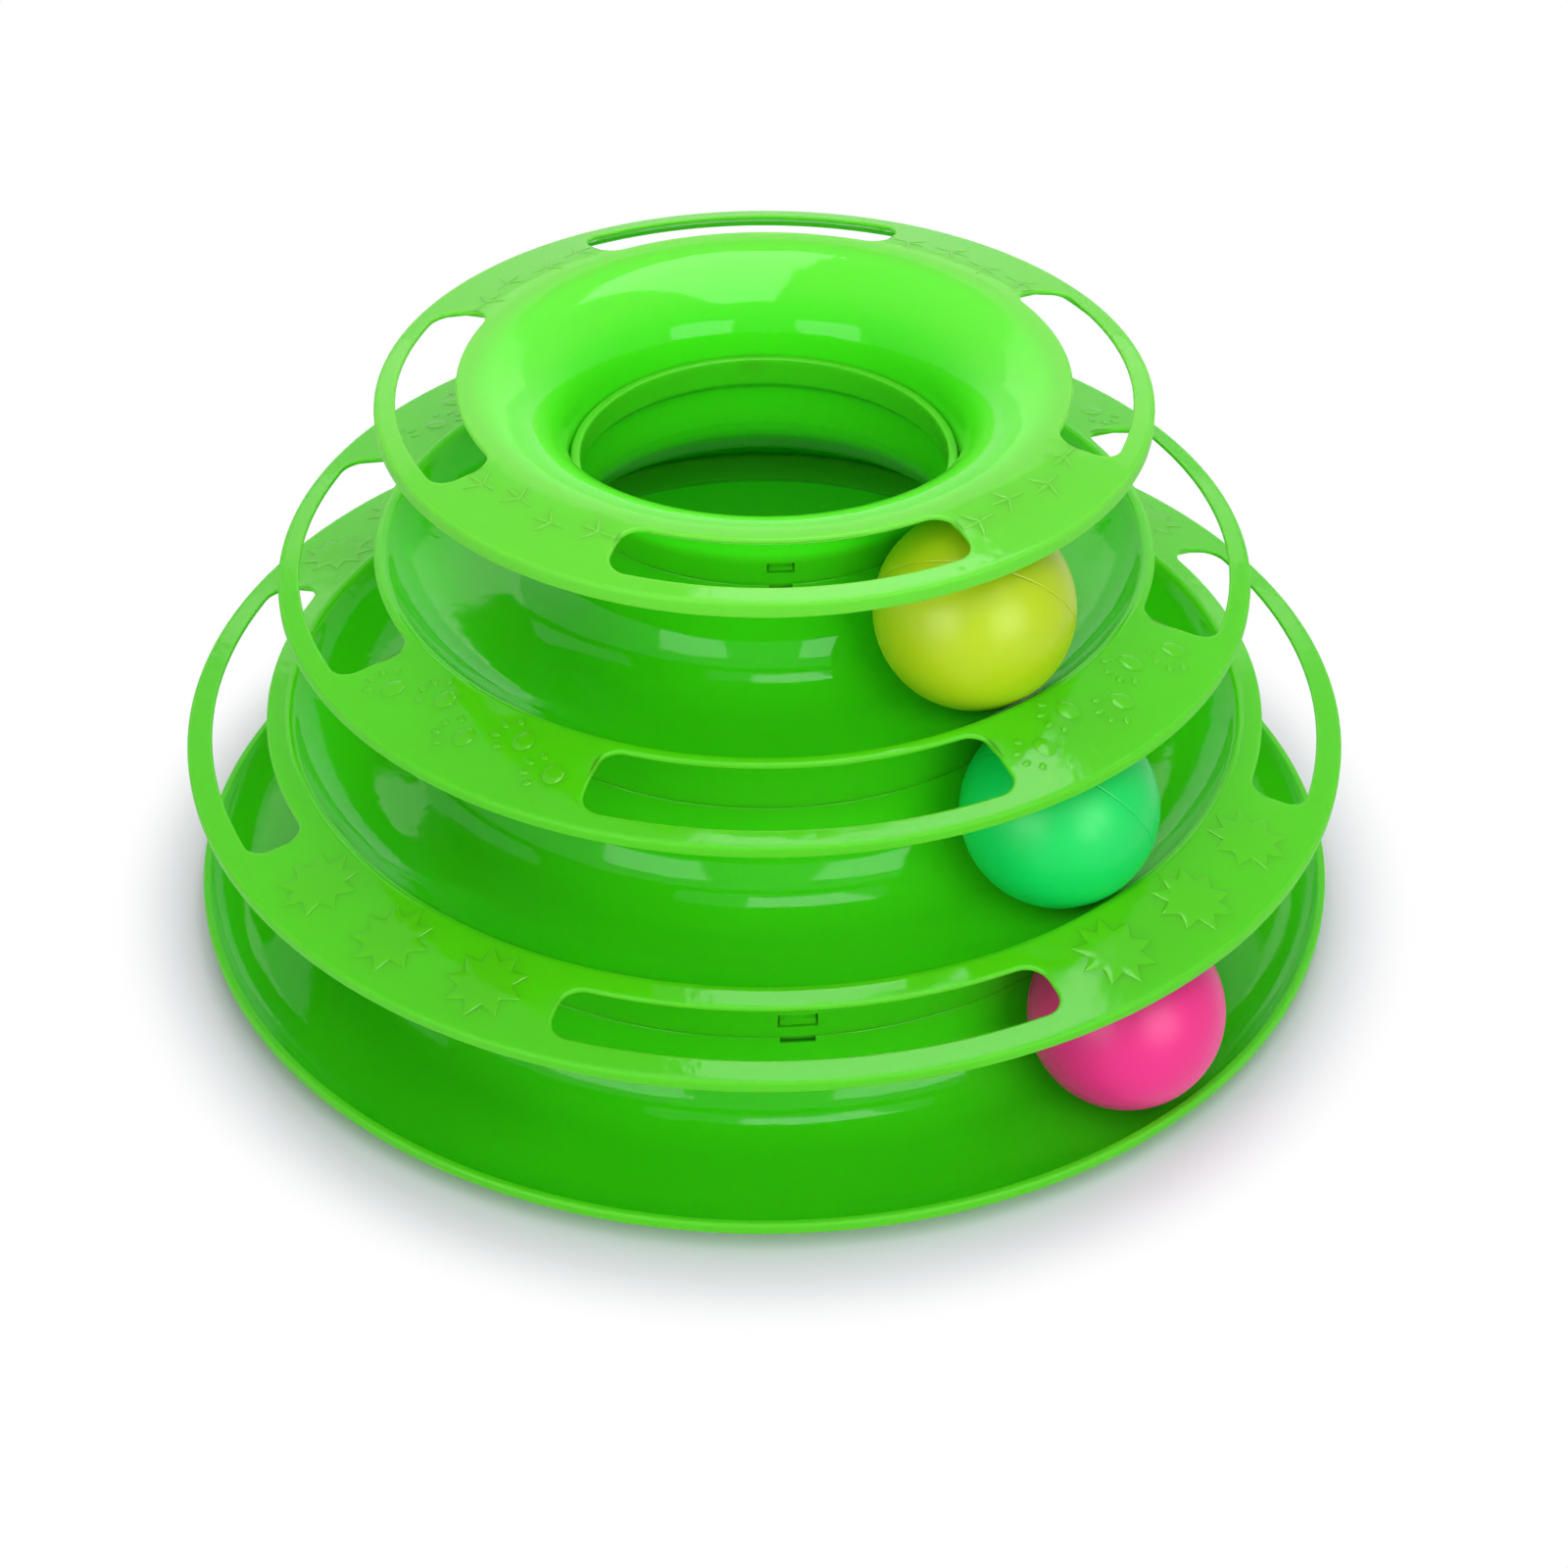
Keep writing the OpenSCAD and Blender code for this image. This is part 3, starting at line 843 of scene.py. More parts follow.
    def slotted_shell(self) -> Shell:
        """Builds a ring with slots.

        The outline is turned round the axis on columns that follow the slots' round ends. Between crest and
        lip the sheet is two strips, one each side of a slot, that meet on the middle line in the bridges.
        Loops round each slot join the upper and lower sheets: at each loop the edge steps out by
        e (1 - sin t) and down by e (1 - cos t), a quarter round above and a smaller one below.

        Returns:
            The ring's shell.
        """
        s, k = SIZES, self.k
        w_turn, w_half = self.window_marks()
        marks = [w_turn - w_half, w_turn + w_half]
        if self.tier is not Tier.TOP:
            n_turn, n_half = self.notch_marks()
            marks += [n_turn - n_half, n_turn + n_half]
        columns = Columns.of_ring(k, marks)
        inner, outer = s.slot_span(k)
        mid, half = (inner + outer) / 2, (outer - inner) / 2
        top, low = self.sheet(0.0), self.sheet(s.wall)
        body, names = self.body_outline()
        lip, _ = self.lip_outline()
        in_angle = columns.inner_angle(mid, half + self.EDGE)
        out_angle = columns.edge(mid, half + self.EDGE, 1)[1]
        shell = Shell()
        body_rows = shell.add(turned_points(body[:, :1], in_angle, body[:, 1:]))
        lip_rows = shell.add(turned_points(lip[:, :1], out_angle, lip[:, 1:]))

        shared = ~columns.on_slot | columns.on_tip
        quarter = np.radians(np.linspace(0, 90, 6))
        turns = [(self.EDGE, t, True) for t in quarter] + [(self.LOW_EDGE, t, False) for t in quarter[::-2]]
        steps = [(size * (1 - math.sin(t)), size * (1 - math.cos(t)), above) for size, t, above in turns]
        inner_loops, outer_loops = [], []
        for spread, drop, above in steps:
            loops = []
            for way in (-1, 1):
                r, a = columns.edge(mid, half + spread, way)
                z = top(r) - drop if above else low(r) + self.THINNING + drop
                loops.append(turned_points(r, a, z))
            first = shell.add(loops[0])
            own = shell.add(loops[1])
            inner_loops.append(first)
            outer_loops.append(np.where(shared, first, own))

        def strip(start: float, angles: np.ndarray, way: int, above: bool) -> np.ndarray:
            """Rows at fixed shares of the way from a border to a slot's edge, where the sheet thins."""
            edge = columns.edge(mid, half + (self.EDGE if above else self.LOW_EDGE), way)[0]
            shares = self.STRIP_SHARES[:, None]
            r = start + (edge - start) * shares
            return shell.add(turned_points(r, angles, top(r) if above else low(r) + self.THINNING * shares))

        a_top, b_top, a_low, b_low = self.borders()
        top_in, top_out = strip(a_top, in_angle, -1, True), strip(b_top, out_angle, 1, True)
        low_in, low_out = strip(a_low, in_angle, -1, False), strip(b_low, out_angle, 1, False)
        shell.band(np.vstack([body_rows[-1:], top_in, inner_loops[0][None]]))
        shell.band(np.vstack([outer_loops[0][None], top_out[::-1], lip_rows[:1]]))
        shell.band(lip_rows)
        shell.band(np.vstack([lip_rows[-1:], low_out, outer_loops[-1][None]]))
        shell.band(np.vstack([inner_loops[-1][None], low_in[::-1], body_rows[:1]]))
        pair = columns.on_slot & np.roll(columns.on_slot, -1)
        shell.band(np.stack(inner_loops), keep=pair)
        shell.band(np.stack(outer_loops[::-1]), keep=pair)
        keep = np.ones((len(body) - 1, len(in_angle)), bool)
        self.cut_windows(shell, body_rows, names, keep, in_angle)
        if self.tier is not Tier.TOP:
            self.cut_notches(shell, body_rows, names, keep, in_angle)
        shell.band(body_rows, keep=keep)
        return shell

    def base_shell(self) -> Shell:
        """Builds the base: its closed outline turned round the axis, with the notches sunk in.

        Returns:
            The ring's shell.
        """
        turn, half = self.notch_marks()
        quarter = Columns.with_marks(np.linspace(-45, 45, 65), [turn - half, turn + half])[:-1]
        starts = SIZES.slot_turn - 90 + 90 * np.arange(QUARTERS)
        angles = np.radians(quarter + starts[:, None]).ravel()
        line, names = self.base_outline()
        shell = Shell()
        rows = shell.add(turned_points(line[:, :1], angles, line[:, 1:]))
        keep = np.ones((len(line), len(angles)), bool)
        self.cut_notches(shell, rows, names, keep, angles)
        shell.band(np.vstack([rows, rows[:1]]), keep=keep)
        return shell

    def slot_distance(self, points: np.ndarray) -> np.ndarray:
        """Distance of points from the nearest slot's edge, a bent rectangle with rounded corners.

        Args:
            points: Points of the ring, in millimetres.

        Returns:
            One distance per point, in millimetres.
        """
        inner, outer = SIZES.slot_span(self.k)
        mid, half = (inner + outer) / 2, (outer - inner) / 2
        reach = (math.radians(SIZES.slot_angles[self.k]) - width_angle(2 * half, mid)) / 2
        r, a, _ = polar(points)
        start = math.radians(SIZES.slot_turn - 90)
        offset = (a - start + math.pi / 4) % (math.pi / 2) - math.pi / 4
        past = np.maximum(np.abs(offset) - reach, 0)
        flat = half - SIZES.slot_corner
        u, v = np.abs(r * np.cos(past) - mid) - flat, r * np.sin(past) - flat
        away = np.hypot(np.maximum(u, 0), np.maximum(v, 0)) + np.minimum(np.maximum(u, v), 0)
        return np.abs(away - SIZES.slot_corner)

    def edge_glow(self, points: np.ndarray) -> np.ndarray:
        """How near each point is to a free edge of the sheet, from 0 to 1.

        It falls off smoothly from the lip, from the slots' edges and from the collar's top, and those
        edges are painted paler and yellower: a painted glow of light through the thin sheet.

        Args:
            points: Points of the ring, in millimetres.

        Returns:
            One value per point.
        """
        s, k = SIZES, self.k
        r, _, z = polar(points)
        if self.tier is Tier.BASE:
            start, full = self.RIM_GLOW
            glow = smooth_step(s.overall_d / 2 - start, s.overall_d / 2 - full, r)
        else:
            lip = s.lip_r(k)
            start, full = self.LIP_GLOW
            glow = smooth_step(lip - start, lip - full, r)
            on_brim = z > s.lip_low_z(k) - 0.5
            start, full, strength = self.SLOT_GLOW
            near = 1 - smooth_step(full, start, self.slot_distance(points))
            glow = np.maximum(glow, strength * near * on_brim)
            start, strength = self.LIP_INSIDE_GLOW
            inner = smooth_step(lip - s.wall - start, lip - s.wall, r)
            glow = np.maximum(glow, strength * inner * (z < s.brim_end_z(k) - start))
        if self.tier is not Tier.TOP:
            on_collar = r < s.collar_r(k) + s.fit_gap / 4
            start, full, strength = self.COLLAR_GLOW
            rise = smooth_step(s.collar_top_z(k) - start, s.collar_top_z(k) - full, z)
            glow = np.maximum(glow, strength * rise * on_collar)
        return glow

    def open_sheet(self, points: np.ndarray) -> np.ndarray:
        """How far each point belongs to a free sheet, with air on both of its sides, from 0 to 1.

        It is 1 on the brim and on the funnel, and falls off smoothly down the walls. Where it is high,
        the colour is painted yellower: painted light on these open sheets.

        Args:
            points: Points of the ring, in millimetres.

        Returns:
            One value per point.
        """
        s = SIZES
        r, _, z = polar(points)
        if self.tier is Tier.BASE:
            width, strength = self.OPEN_RIM
            return strength * smooth_step(s.overall_d / 2 - width, s.overall_d / 2, r)
        if self.tier is Tier.TOP:
            start, full = self.OPEN_FUNNEL
            return smooth_step(s.seam_z(2) + start, s.seam_z(2) + full, z)
        before, after = self.OPEN_BRIM
        return smooth_step(self.crest()[0] - before, self.crest()[0] + after, r)

    def painted_bore_light(self, points: np.ndarray) -> np.ndarray:
        """How far each point belongs to the side that faces the hole down the middle, from 0 to 1.

        That side is painted brighter: painted light on the walls round the hole and in the funnel.

        Args:
            points: Points of the ring, in millimetres.

        Returns:
            One value per point.
        """
        s, j = SIZES, min(self.k, 2)
        r, _, z = polar(points)
        start, end = self.BORE_WALL
        inside = 1 - smooth_step(s.wall_r(j) - start, s.wall_r(j) - end, r)
        if self.tier is not Tier.TOP:
            return inside
        below, above, width = self.BORE_FUNNEL
        funnel = smooth_step(s.collar_top_z(2) - below, s.collar_top_z(2) + above, z)
        return np.maximum(inside, funnel * (1 - smooth_step(s.top_crest_r - width, s.top_crest_r, r)))

    def crown_painted_light(self, points: np.ndarray) -> np.ndarray:
        """How far each point belongs to the top ring's thin upper sheet, from 0 to 1.

        The sheet is painted paler than the tracks, by the same amount all round the axis: painted light
        on the top ring.

        Args:
            points: Points of the ring, in millimetres.

        Returns:
            One value per point.
        """
        if self.tier is not Tier.TOP:
            return np.zeros(len(points))
        s = SIZES
        r, _, z = polar(points)
        start, full = self.CROWN_RISE
        rise = smooth_step(s.collar_top_z(2) + start, s.collar_top_z(2) + full, z)
        return self.PALE_CROWN * (rise * smooth_step(s.skirt_r(2), s.skirt_r(2) + self.CROWN_REACH, r))

    def build(self, name: str, finish: "MouldedPlastic") -> bpy.types.Object:
        """Builds and dresses the ring in place of its CAD node.

        Args:
            name: Name of the CAD node.
            finish: The plastic's finish.

        Returns:
            The ring's object.
        """
        shell = self.base_shell() if self.tier is Tier.BASE else self.slotted_shell()
        if self.tier is not Tier.TOP:
            self.latch_pads(shell)
        piece = shell.mesh(f"{name}_moulding")
        # Masks of painted light: at the free edges, on the upper sheets, on the side round the hole and on
        # the top ring
        for share in (self.edge_glow, self.open_sheet, self.painted_bore_light, self.crown_painted_light):
            paint(piece, share.__name__, share(shell.points()))
        # Painted shade in the notches and in the gaps round the latch pads
        recess = np.zeros(shell.count)
        recess[np.concatenate([*shell.painted_shade_points, np.zeros(0, int)])] = 1.0
        paint(piece, "recess", recess)
        piece.data.materials.append(finish.material())
        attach(piece, "tower")
        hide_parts(name)
        return piece


class Motif(Enum):
    """Raised marks on the brims, one kind for each tier."""

    STARS = 1
    PAW_PRINTS = 2
    BIRD_TRACKS = 3


def oval(
    forward: float, side: float, length: float, width: float, turn: float = 0.0, count: int = 20
) -> np.ndarray:
    """Outline of an oval, in steps forward and sideways: centre + turned (a cos t, b sin t).

    Args:
        forward: Place of its middle along the track.
        side: Place of its middle across the track, outwards.
        length: Length of the oval.
        width: Width of the oval.
        turn: Turn of its length from straight forward, in degrees.
        count: Number of points.

    Returns:
        Points (count, 2), after the middle in the first row.
    """
    t = np.linspace(0, FULL_TURN, count, endpoint=False)
    local = np.stack([length / 2 * np.cos(t), width / 2 * np.sin(t)], axis=-1)
    return np.vstack([[[forward, side]], np.array([forward, side]) + local @ turn_matrix(turn)])


@dataclass
class BrimRelief:
    """The raised marks on one brim: shallow pads moulded on its bridges, which walk round the ring."""

    ring: RingMoulding
    motif: Motif
    SUNK = 0.15
    # Painted glow of light, the same over the whole of each mark
    GLOW = 0.05
    SHARP = 50.0
    # Rows of a pad as pairs of share of its outline and share of its height, where -1 is the sunk foot
    FLAT = np.array([[1.0, -1.0], [1.0, 0.0], [0.955, 0.85], [0.93, 1.0], [0.6, 1.0], [0.3, 1.0]])
    DOMED = np.array([[1.0, -1.0], [1.0, 0.0], [0.86, 0.6], [0.66, 0.9], [0.35, 1.0]])
    # Number of a star's points, its outer and inner radius, and its height
    STAR = (9, 8.7, 5.3, 0.13)
    # Pads of a paw print and of a bird track: forward, sideways, length, width, turn and height
    PAW = (
        (-1.2, 0.0, 4.2, 5.0, 0.0, 0.2),
        (2.6, -3.6, 2.0, 1.4, -38.0, 0.17),
        (4.7, -1.4, 2.0, 1.4, -14.0, 0.17),
        (4.7, 1.4, 2.0, 1.4, 14.0, 0.17),
        (2.6, 3.6, 2.0, 1.4, 38.0, 0.17),
    )
    BIRD = (
        (2.1, 0.0, 4.4, 0.8, 0.0, 0.12),
        (1.1, 1.7, 4.2, 0.8, 58.0, 0.12),
        (1.1, -1.7, 4.2, 0.8, -58.0, 0.12),
        (-2.1, 0.0, 3.6, 0.8, 0.0, 0.12),
    )
    # Where the marks stand on one bridge: angle from its middle in degrees, radius, and own turn
    PLACES = {
        Motif.STARS: ((-12.0, 112.3, 8.0), (0.0, 112.3, 30.0), (12.0, 112.3, 52.0)),
        Motif.PAW_PRINTS: (
            (-13.8, 91.0, 4.0), (-6.8, 85.9, -5.0), (0.2, 91.0, 5.0), (7.4, 86.1, -4.0), (13.8, 91.3, 3.0),
        ),
        Motif.BIRD_TRACKS: ((-12.4, 68.0, 6.0), (-4.4, 66.2, -7.0), (4.2, 68.2, 5.0), (12.4, 66.4, -6.0)),
    }

    def marks(self) -> list[tuple[np.ndarray, float, np.ndarray]]:
        """Outlines of one mark, each with its height and its rows as pairs of share and height."""
        if self.motif is not Motif.STARS:
            pads = self.PAW if self.motif is Motif.PAW_PRINTS else self.BIRD
            return [(oval(*pad[:5]), pad[5], self.DOMED) for pad in pads]
        points, long, short, height = self.STAR
        t = np.linspace(0, FULL_TURN, 2 * points, endpoint=False)
        r = np.where(np.arange(2 * points) % 2 == 0, long, short)
        corners = np.stack([r * np.cos(t), r * np.sin(t)], axis=-1)
        share = np.linspace(0, 1, 5)[:-1, None, None]
        edge = corners * (1 - share) + np.roll(corners, -1, axis=0) * share
        return [(np.vstack([[[0.0, 0.0]], edge.transpose(1, 0, 2).reshape(-1, 2)]), height, self.FLAT)]

    def build(self, name: str, finish: "MouldedPlastic") -> bpy.types.Object:
        """Builds the marks of all bridges as closed pads on the brim.

        A point of a mark at share s of its outline lies at centre + s (outline - centre). A step forward is
        a turn about the axis by step / radius, clockwise from above, and a step sideways adds to the radius.
        The height is the brim's own plus the pad's.

        Args:
            name: Name of the piece.
            finish: The plastic's finish.

        Returns:
            The object with all the marks.
        """
        top = self.ring.sheet(0.0)
        shell = Shell()
        for quarter in range(QUARTERS):
            start = SIZES.slot_turn - 45 + 90 * quarter
            for offset, radius, turn in self.PLACES[self.motif]:
                spin = turn_matrix(turn)
                for outline, height, steps in self.marks():
                    local = outline @ spin
                    ring = local[0] + steps[:, None, :1] * (local[1:] - local[0])
                    lift = np.where(steps[:, 1:] < 0, -self.SUNK, steps[:, 1:] * height)
                    rows = self._lay(shell, ring, lift, start + offset, radius, top)
                    centre, under = (
                        self._lay(shell, local[:1], np.array([end]), start + offset, radius, top)
                        for end in (height, -self.SUNK)
                    )
                    root, tip = (np.broadcast_to(end, rows[:1].shape) for end in (under, centre))
                    shell.band(np.vstack([root, rows, tip]))
        piece = shell.mesh(name, sharp=self.SHARP)
        # Painted light on the marks: a little at their edges, and the same as on the sheet they stand on
        paint(piece, "edge_glow", np.full(shell.count, self.GLOW))
        paint(piece, "open_sheet", np.ones(shell.count))
        paint(piece, "crown_painted_light", self.ring.crown_painted_light(shell.points()))
        piece.data.materials.append(finish.material())
        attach(piece, "tower")
        return piece

    @staticmethod
    def _lay(
        shell: Shell, local: np.ndarray, lift: np.ndarray, start: float, radius: float, top: Callable
    ) -> np.ndarray:
        """Lays points of a mark on the brim: (forward, side) becomes the turn -forward / r0 and r0 + side.

        Args:
            shell: Where the points are stored.
            local: Steps forward and sideways.
            lift: Heights above the brim.
            start: Angle of the mark's own middle, in degrees.
            radius: Radius r0 of that middle.
            top: The brim's height over the radius.

        Returns:
            The points' indices.
        """
        angle = math.radians(start) - local[..., 0] / radius
        r = radius + local[..., 1]
        return shell.add(turned_points(r, angle, top(r) + lift))


@dataclass
class PlayBall:
    """A blow-moulded ball of two welded half shells, which rests in one of the troughs."""

    colour: str
    tier: Tier
    place: float
    seam: tuple[float, float]
    finish: "MouldedPlastic"
    WELD = 0.14
    COLUMNS = 120
    SHARP = 60.0
    # Angles of the rows above the weld, which stand close together at its fine line
    CLOSE_ROWS = (0.0, 0.2, 0.4, 0.7, 1.1)
    LAST_ROW = 88

    def half(self, up: bool) -> Shell:
        """One half shell: an outer and an inner dome, with a small round where the halves are welded.

        The dome is R (cos f cos t, cos f sin t, sin f) with f from the weld to the pole. Near the weld R
        falls by w exp(-(h / w)^2) with h the height above it, which leaves the fine line that runs round the
        ball. The half is then tipped and turned the way the ball lies.

        Args:
            up: True for the half above the weld.

        Returns:
            The half's shell.
        """
        s = SIZES
        outer_f = np.radians(np.concatenate([self.CLOSE_ROWS, np.linspace(2, self.LAST_ROW, 42)]))
        inner_f = np.radians(np.linspace(self.LAST_ROW, 0, 22))
        t = np.linspace(0, FULL_TURN, self.COLUMNS, endpoint=False)
        groove = self.WELD * np.exp(-((s.ball_r * np.sin(outer_f) / self.WELD) ** 2))
        radius = np.concatenate([s.ball_r - groove, np.full(len(inner_f), s.ball_r - s.ball_wall)])
        lift = np.concatenate([outer_f, inner_f])
        rows = turned_points((radius * np.cos(lift))[:, None], t, (radius * np.sin(lift))[:, None])
        poles = [np.array([[0.0, 0.0, r]]) for r in (s.ball_r, s.ball_r - s.ball_wall)]
        shell = Shell()
        body = shell.add(self.lay(rows, up))
        caps = [np.broadcast_to(shell.add(self.lay(p, up)), (1, self.COLUMNS)) for p in poles]
        split = len(outer_f)
        shell.band(np.vstack([body[:split], caps[0]]))
        shell.band(np.vstack([caps[1], body[split:], body[:1]]))
        return shell

    def lay(self, points: np.ndarray, up: bool) -> np.ndarray:
        """Tips points about X by the seam's tilt, turns them about Z and carries them to the ball's place.

        Args:
            points: Points round the origin.
            up: True for the half above the weld.

        Returns:
            The points in the ball's place.
        """
        s, k = SIZES, self.tier.value
        tilt = math.radians(self.seam[0] + (0 if up else 180))
        turn, place = math.radians(self.seam[1]), math.radians(self.place)
        c, n = math.cos(tilt), math.sin(tilt)
        tip = np.array([[1, 0, 0], [0, c, -n], [0, n, c]])
        c, n = math.cos(turn), math.sin(turn)
        spin = np.array([[c, -n, 0], [n, c, 0], [0, 0, 1]])
        centre = turned_points(s.path_r(k), place, s.floor_z(k) + s.floor_gap + s.ball_r)
        return points @ (spin @ tip).T + centre

    def build(self) -> list[bpy.types.Object]:
        """Builds both halves in place of their CAD nodes.

        Returns:
            The two objects.
        """
        pieces = []
        for up, label in ((True, "upper"), (False, "lower")):
            piece = self.half(up).mesh(f"{self.colour}_ball_{label}_shell", sharp=self.SHARP)
            piece.data.materials.append(self.finish.material())
            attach(piece, f"{self.colour}_ball")
            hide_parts(f"{self.colour}_ball_{label}_half")
            pieces.append(piece)
        return pieces


@dataclass
class RubberFeet:
    """The four stick-on rubber pads under the base."""

    finish: "FrostedRubber"
    SIDES = {"front_right": -45.0, "back_right": 45.0, "back_left": 135.0, "front_left": 225.0}
    COLUMNS = 48
    CUP = 0.12
    # Radii of the line's start and of the cup's edges, as shares of the pad's radius
    SHARES = (0.1, 0.55, 0.68)
    ROUNDS = (0.3, 0.35, 0.12)
    TAPER = 0.05

    def build(self) -> list[bpy.types.Object]:
        """Builds each pad: an outline with a rounded lower edge and a shallow cup, turned about its own axis.

        Returns:
            The four objects.
        """
        s = SIZES
        mid_r = (s.wall_r(0) + s.hollow_r + s.path_r(0) + s.base_flat) / 2
        edge = s.foot_d / 2
        start, cup, land = (edge * share for share in self.SHARES)
        soft, low_round, top_round = self.ROUNDS
        line = Outline().to(start, self.CUP).to(cup, self.CUP, soft).to(land, 0.0, soft)
        line.to(edge, 0.0, low_round).to(edge - self.TAPER, s.foot_h, top_round).to(start, s.foot_h)
        outline, _ = line.trace()
        t = np.linspace(0, FULL_TURN, self.COLUMNS, endpoint=False)
        pieces = []
        for side, degrees in self.SIDES.items():
            centre = turned_points(mid_r, math.radians(degrees), 0.0)
            shell = Shell()
            rows = shell.add(turned_points(outline[:, :1], t, outline[:, 1:]) + centre)
            low = shell.add(centre + np.array([[0.0, 0.0, self.CUP]]))
            high = shell.add(centre + np.array([[0.0, 0.0, s.foot_h]]))
            shape = (1, self.COLUMNS)
            shell.band(np.vstack([np.broadcast_to(low, shape), rows, np.broadcast_to(high, shape)]))
            piece = shell.mesh(f"foot_pad_{side}_rubber")
            piece.data.materials.append(self.finish.material())
            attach(piece, "tower")
            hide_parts(f"foot_pad_{side}")
            pieces.append(piece)
        return pieces


class NodeSheet:
    """Short ways to add and join the nodes of one tree."""

    def __init__(self, tree: bpy.types.NodeTree) -> None:
        """Takes the tree, and empties it."""
        self.tree = tree
        self.tree.nodes.clear()

    def add(self, kind: str, inputs: Optional[dict] = None, **settings) -> bpy.types.Node:
        """Adds a node.

        Args:
            kind: The node's type name, without its ShaderNode prefix.
            inputs: Values or output sockets for its inputs, by name or number.
            **settings: Values for the node's own settings.

        Returns:
            The node.
        """
        prefix = "" if kind.startswith("NodeGroup") else "ShaderNode"
        node = self.tree.nodes.new(prefix + kind)
        for key, value in settings.items():
            setattr(node, key, value)
        for key, value in (inputs or {}).items():
            if isinstance(value, bpy.types.NodeSocket):
                self.tree.links.new(value, node.inputs[key])
            else:
                node.inputs[key].default_value = value
        return node

    def group(
        self, tree: bpy.types.NodeTree, place: bpy.types.NodeSocket, **values: float
    ) -> bpy.types.NodeSocket:
        """Adds a group that reads the given coordinates, and returns its output."""
        return self.add("Group", {"Coordinates": place, **values}, node_tree=tree).outputs[0]

    def share_of(self, name: str) -> bpy.types.NodeSocket:
        """Adds a reader of one of the piece's painted attributes, and returns its value."""
        return self.add("Attribute", attribute_name=name).outputs["Fac"]

    def math(
        self, operation: str, first: Feed, second: Feed = 0.0, third: Feed = 0.0
    ) -> bpy.types.NodeSocket:
        """Adds a Math node and returns its output."""
        return self.add("Math", {0: first, 1: second, 2: third}, operation=operation).outputs[0]

    def seen(self) -> bpy.types.NodeSocket:
        """Adds the share, 0 or 1, of rays from the camera, from gloss and through clear pieces."""
        path = self.add("LightPath")
        seen = self.math("MAXIMUM", path.outputs["Is Camera Ray"], path.outputs["Is Glossy Ray"])
        return self.math("MAXIMUM", seen, path.outputs["Is Transmission Ray"])

    def map_range(
        self, value: Feed, low: float, high: float, to_low: float = 0.0, to_high: float = 1.0
    ) -> bpy.types.NodeSocket:
        """Adds a clamped Map Range node and returns its output."""
        inputs = {"Value": value, "From Min": low, "From Max": high, "To Min": to_low, "To Max": to_high}
        return self.add("MapRange", inputs, clamp=True, interpolation_type="SMOOTHSTEP").outputs[0]

    def mix(self, share: Feed, first: Feed, second: Feed) -> bpy.types.NodeSocket:
        """Adds a colour Mix node and returns its output."""
        return self.add("Mix", {0: share, 6: first, 7: second}, data_type="RGBA").outputs[2]

    def noise(self, place: bpy.types.NodeSocket, scale: Feed, detail: float = 2.0) -> bpy.types.NodeSocket:
        """Adds a noise texture and returns its value."""
        return self.add("TexNoise", {"Vector": place, "Scale": scale, "Detail": detail}).outputs["Fac"]

    def stretched(
        self, place: bpy.types.NodeSocket, turn: Sequence[float], scale: Sequence[float]
    ) -> bpy.types.NodeSocket:
        """Adds a mapping that turns and stretches coordinates, and returns them."""
        return self.add("Mapping", {"Vector": place, "Rotation": turn, "Scale": scale}).outputs[0]


def new_group(
    name: str, inputs: dict[str, tuple[str, float]], outputs: dict[str, str]
) -> tuple[bpy.types.NodeTree, NodeSheet, bpy.types.Node]:
    """Starts a shader node group.

    Args:
        name: Name of the group.
        inputs: Kind of socket and default value of each input.
        outputs: Kind of socket of each output.

    Returns:
        The tree, its sheet and its input node.
    """
    tree = bpy.data.node_groups.new(name, "ShaderNodeTree")
    for label, (kind, default) in inputs.items():
        socket = tree.interface.new_socket(label, in_out="INPUT", socket_type=f"NodeSocket{kind}")
        if kind == "Float":
            socket.default_value = default
    for label, kind in outputs.items():
        tree.interface.new_socket(label, in_out="OUTPUT", socket_type=f"NodeSocket{kind}")
    sheet = NodeSheet(tree)
    return tree, sheet, tree.nodes.new("NodeGroupInput")


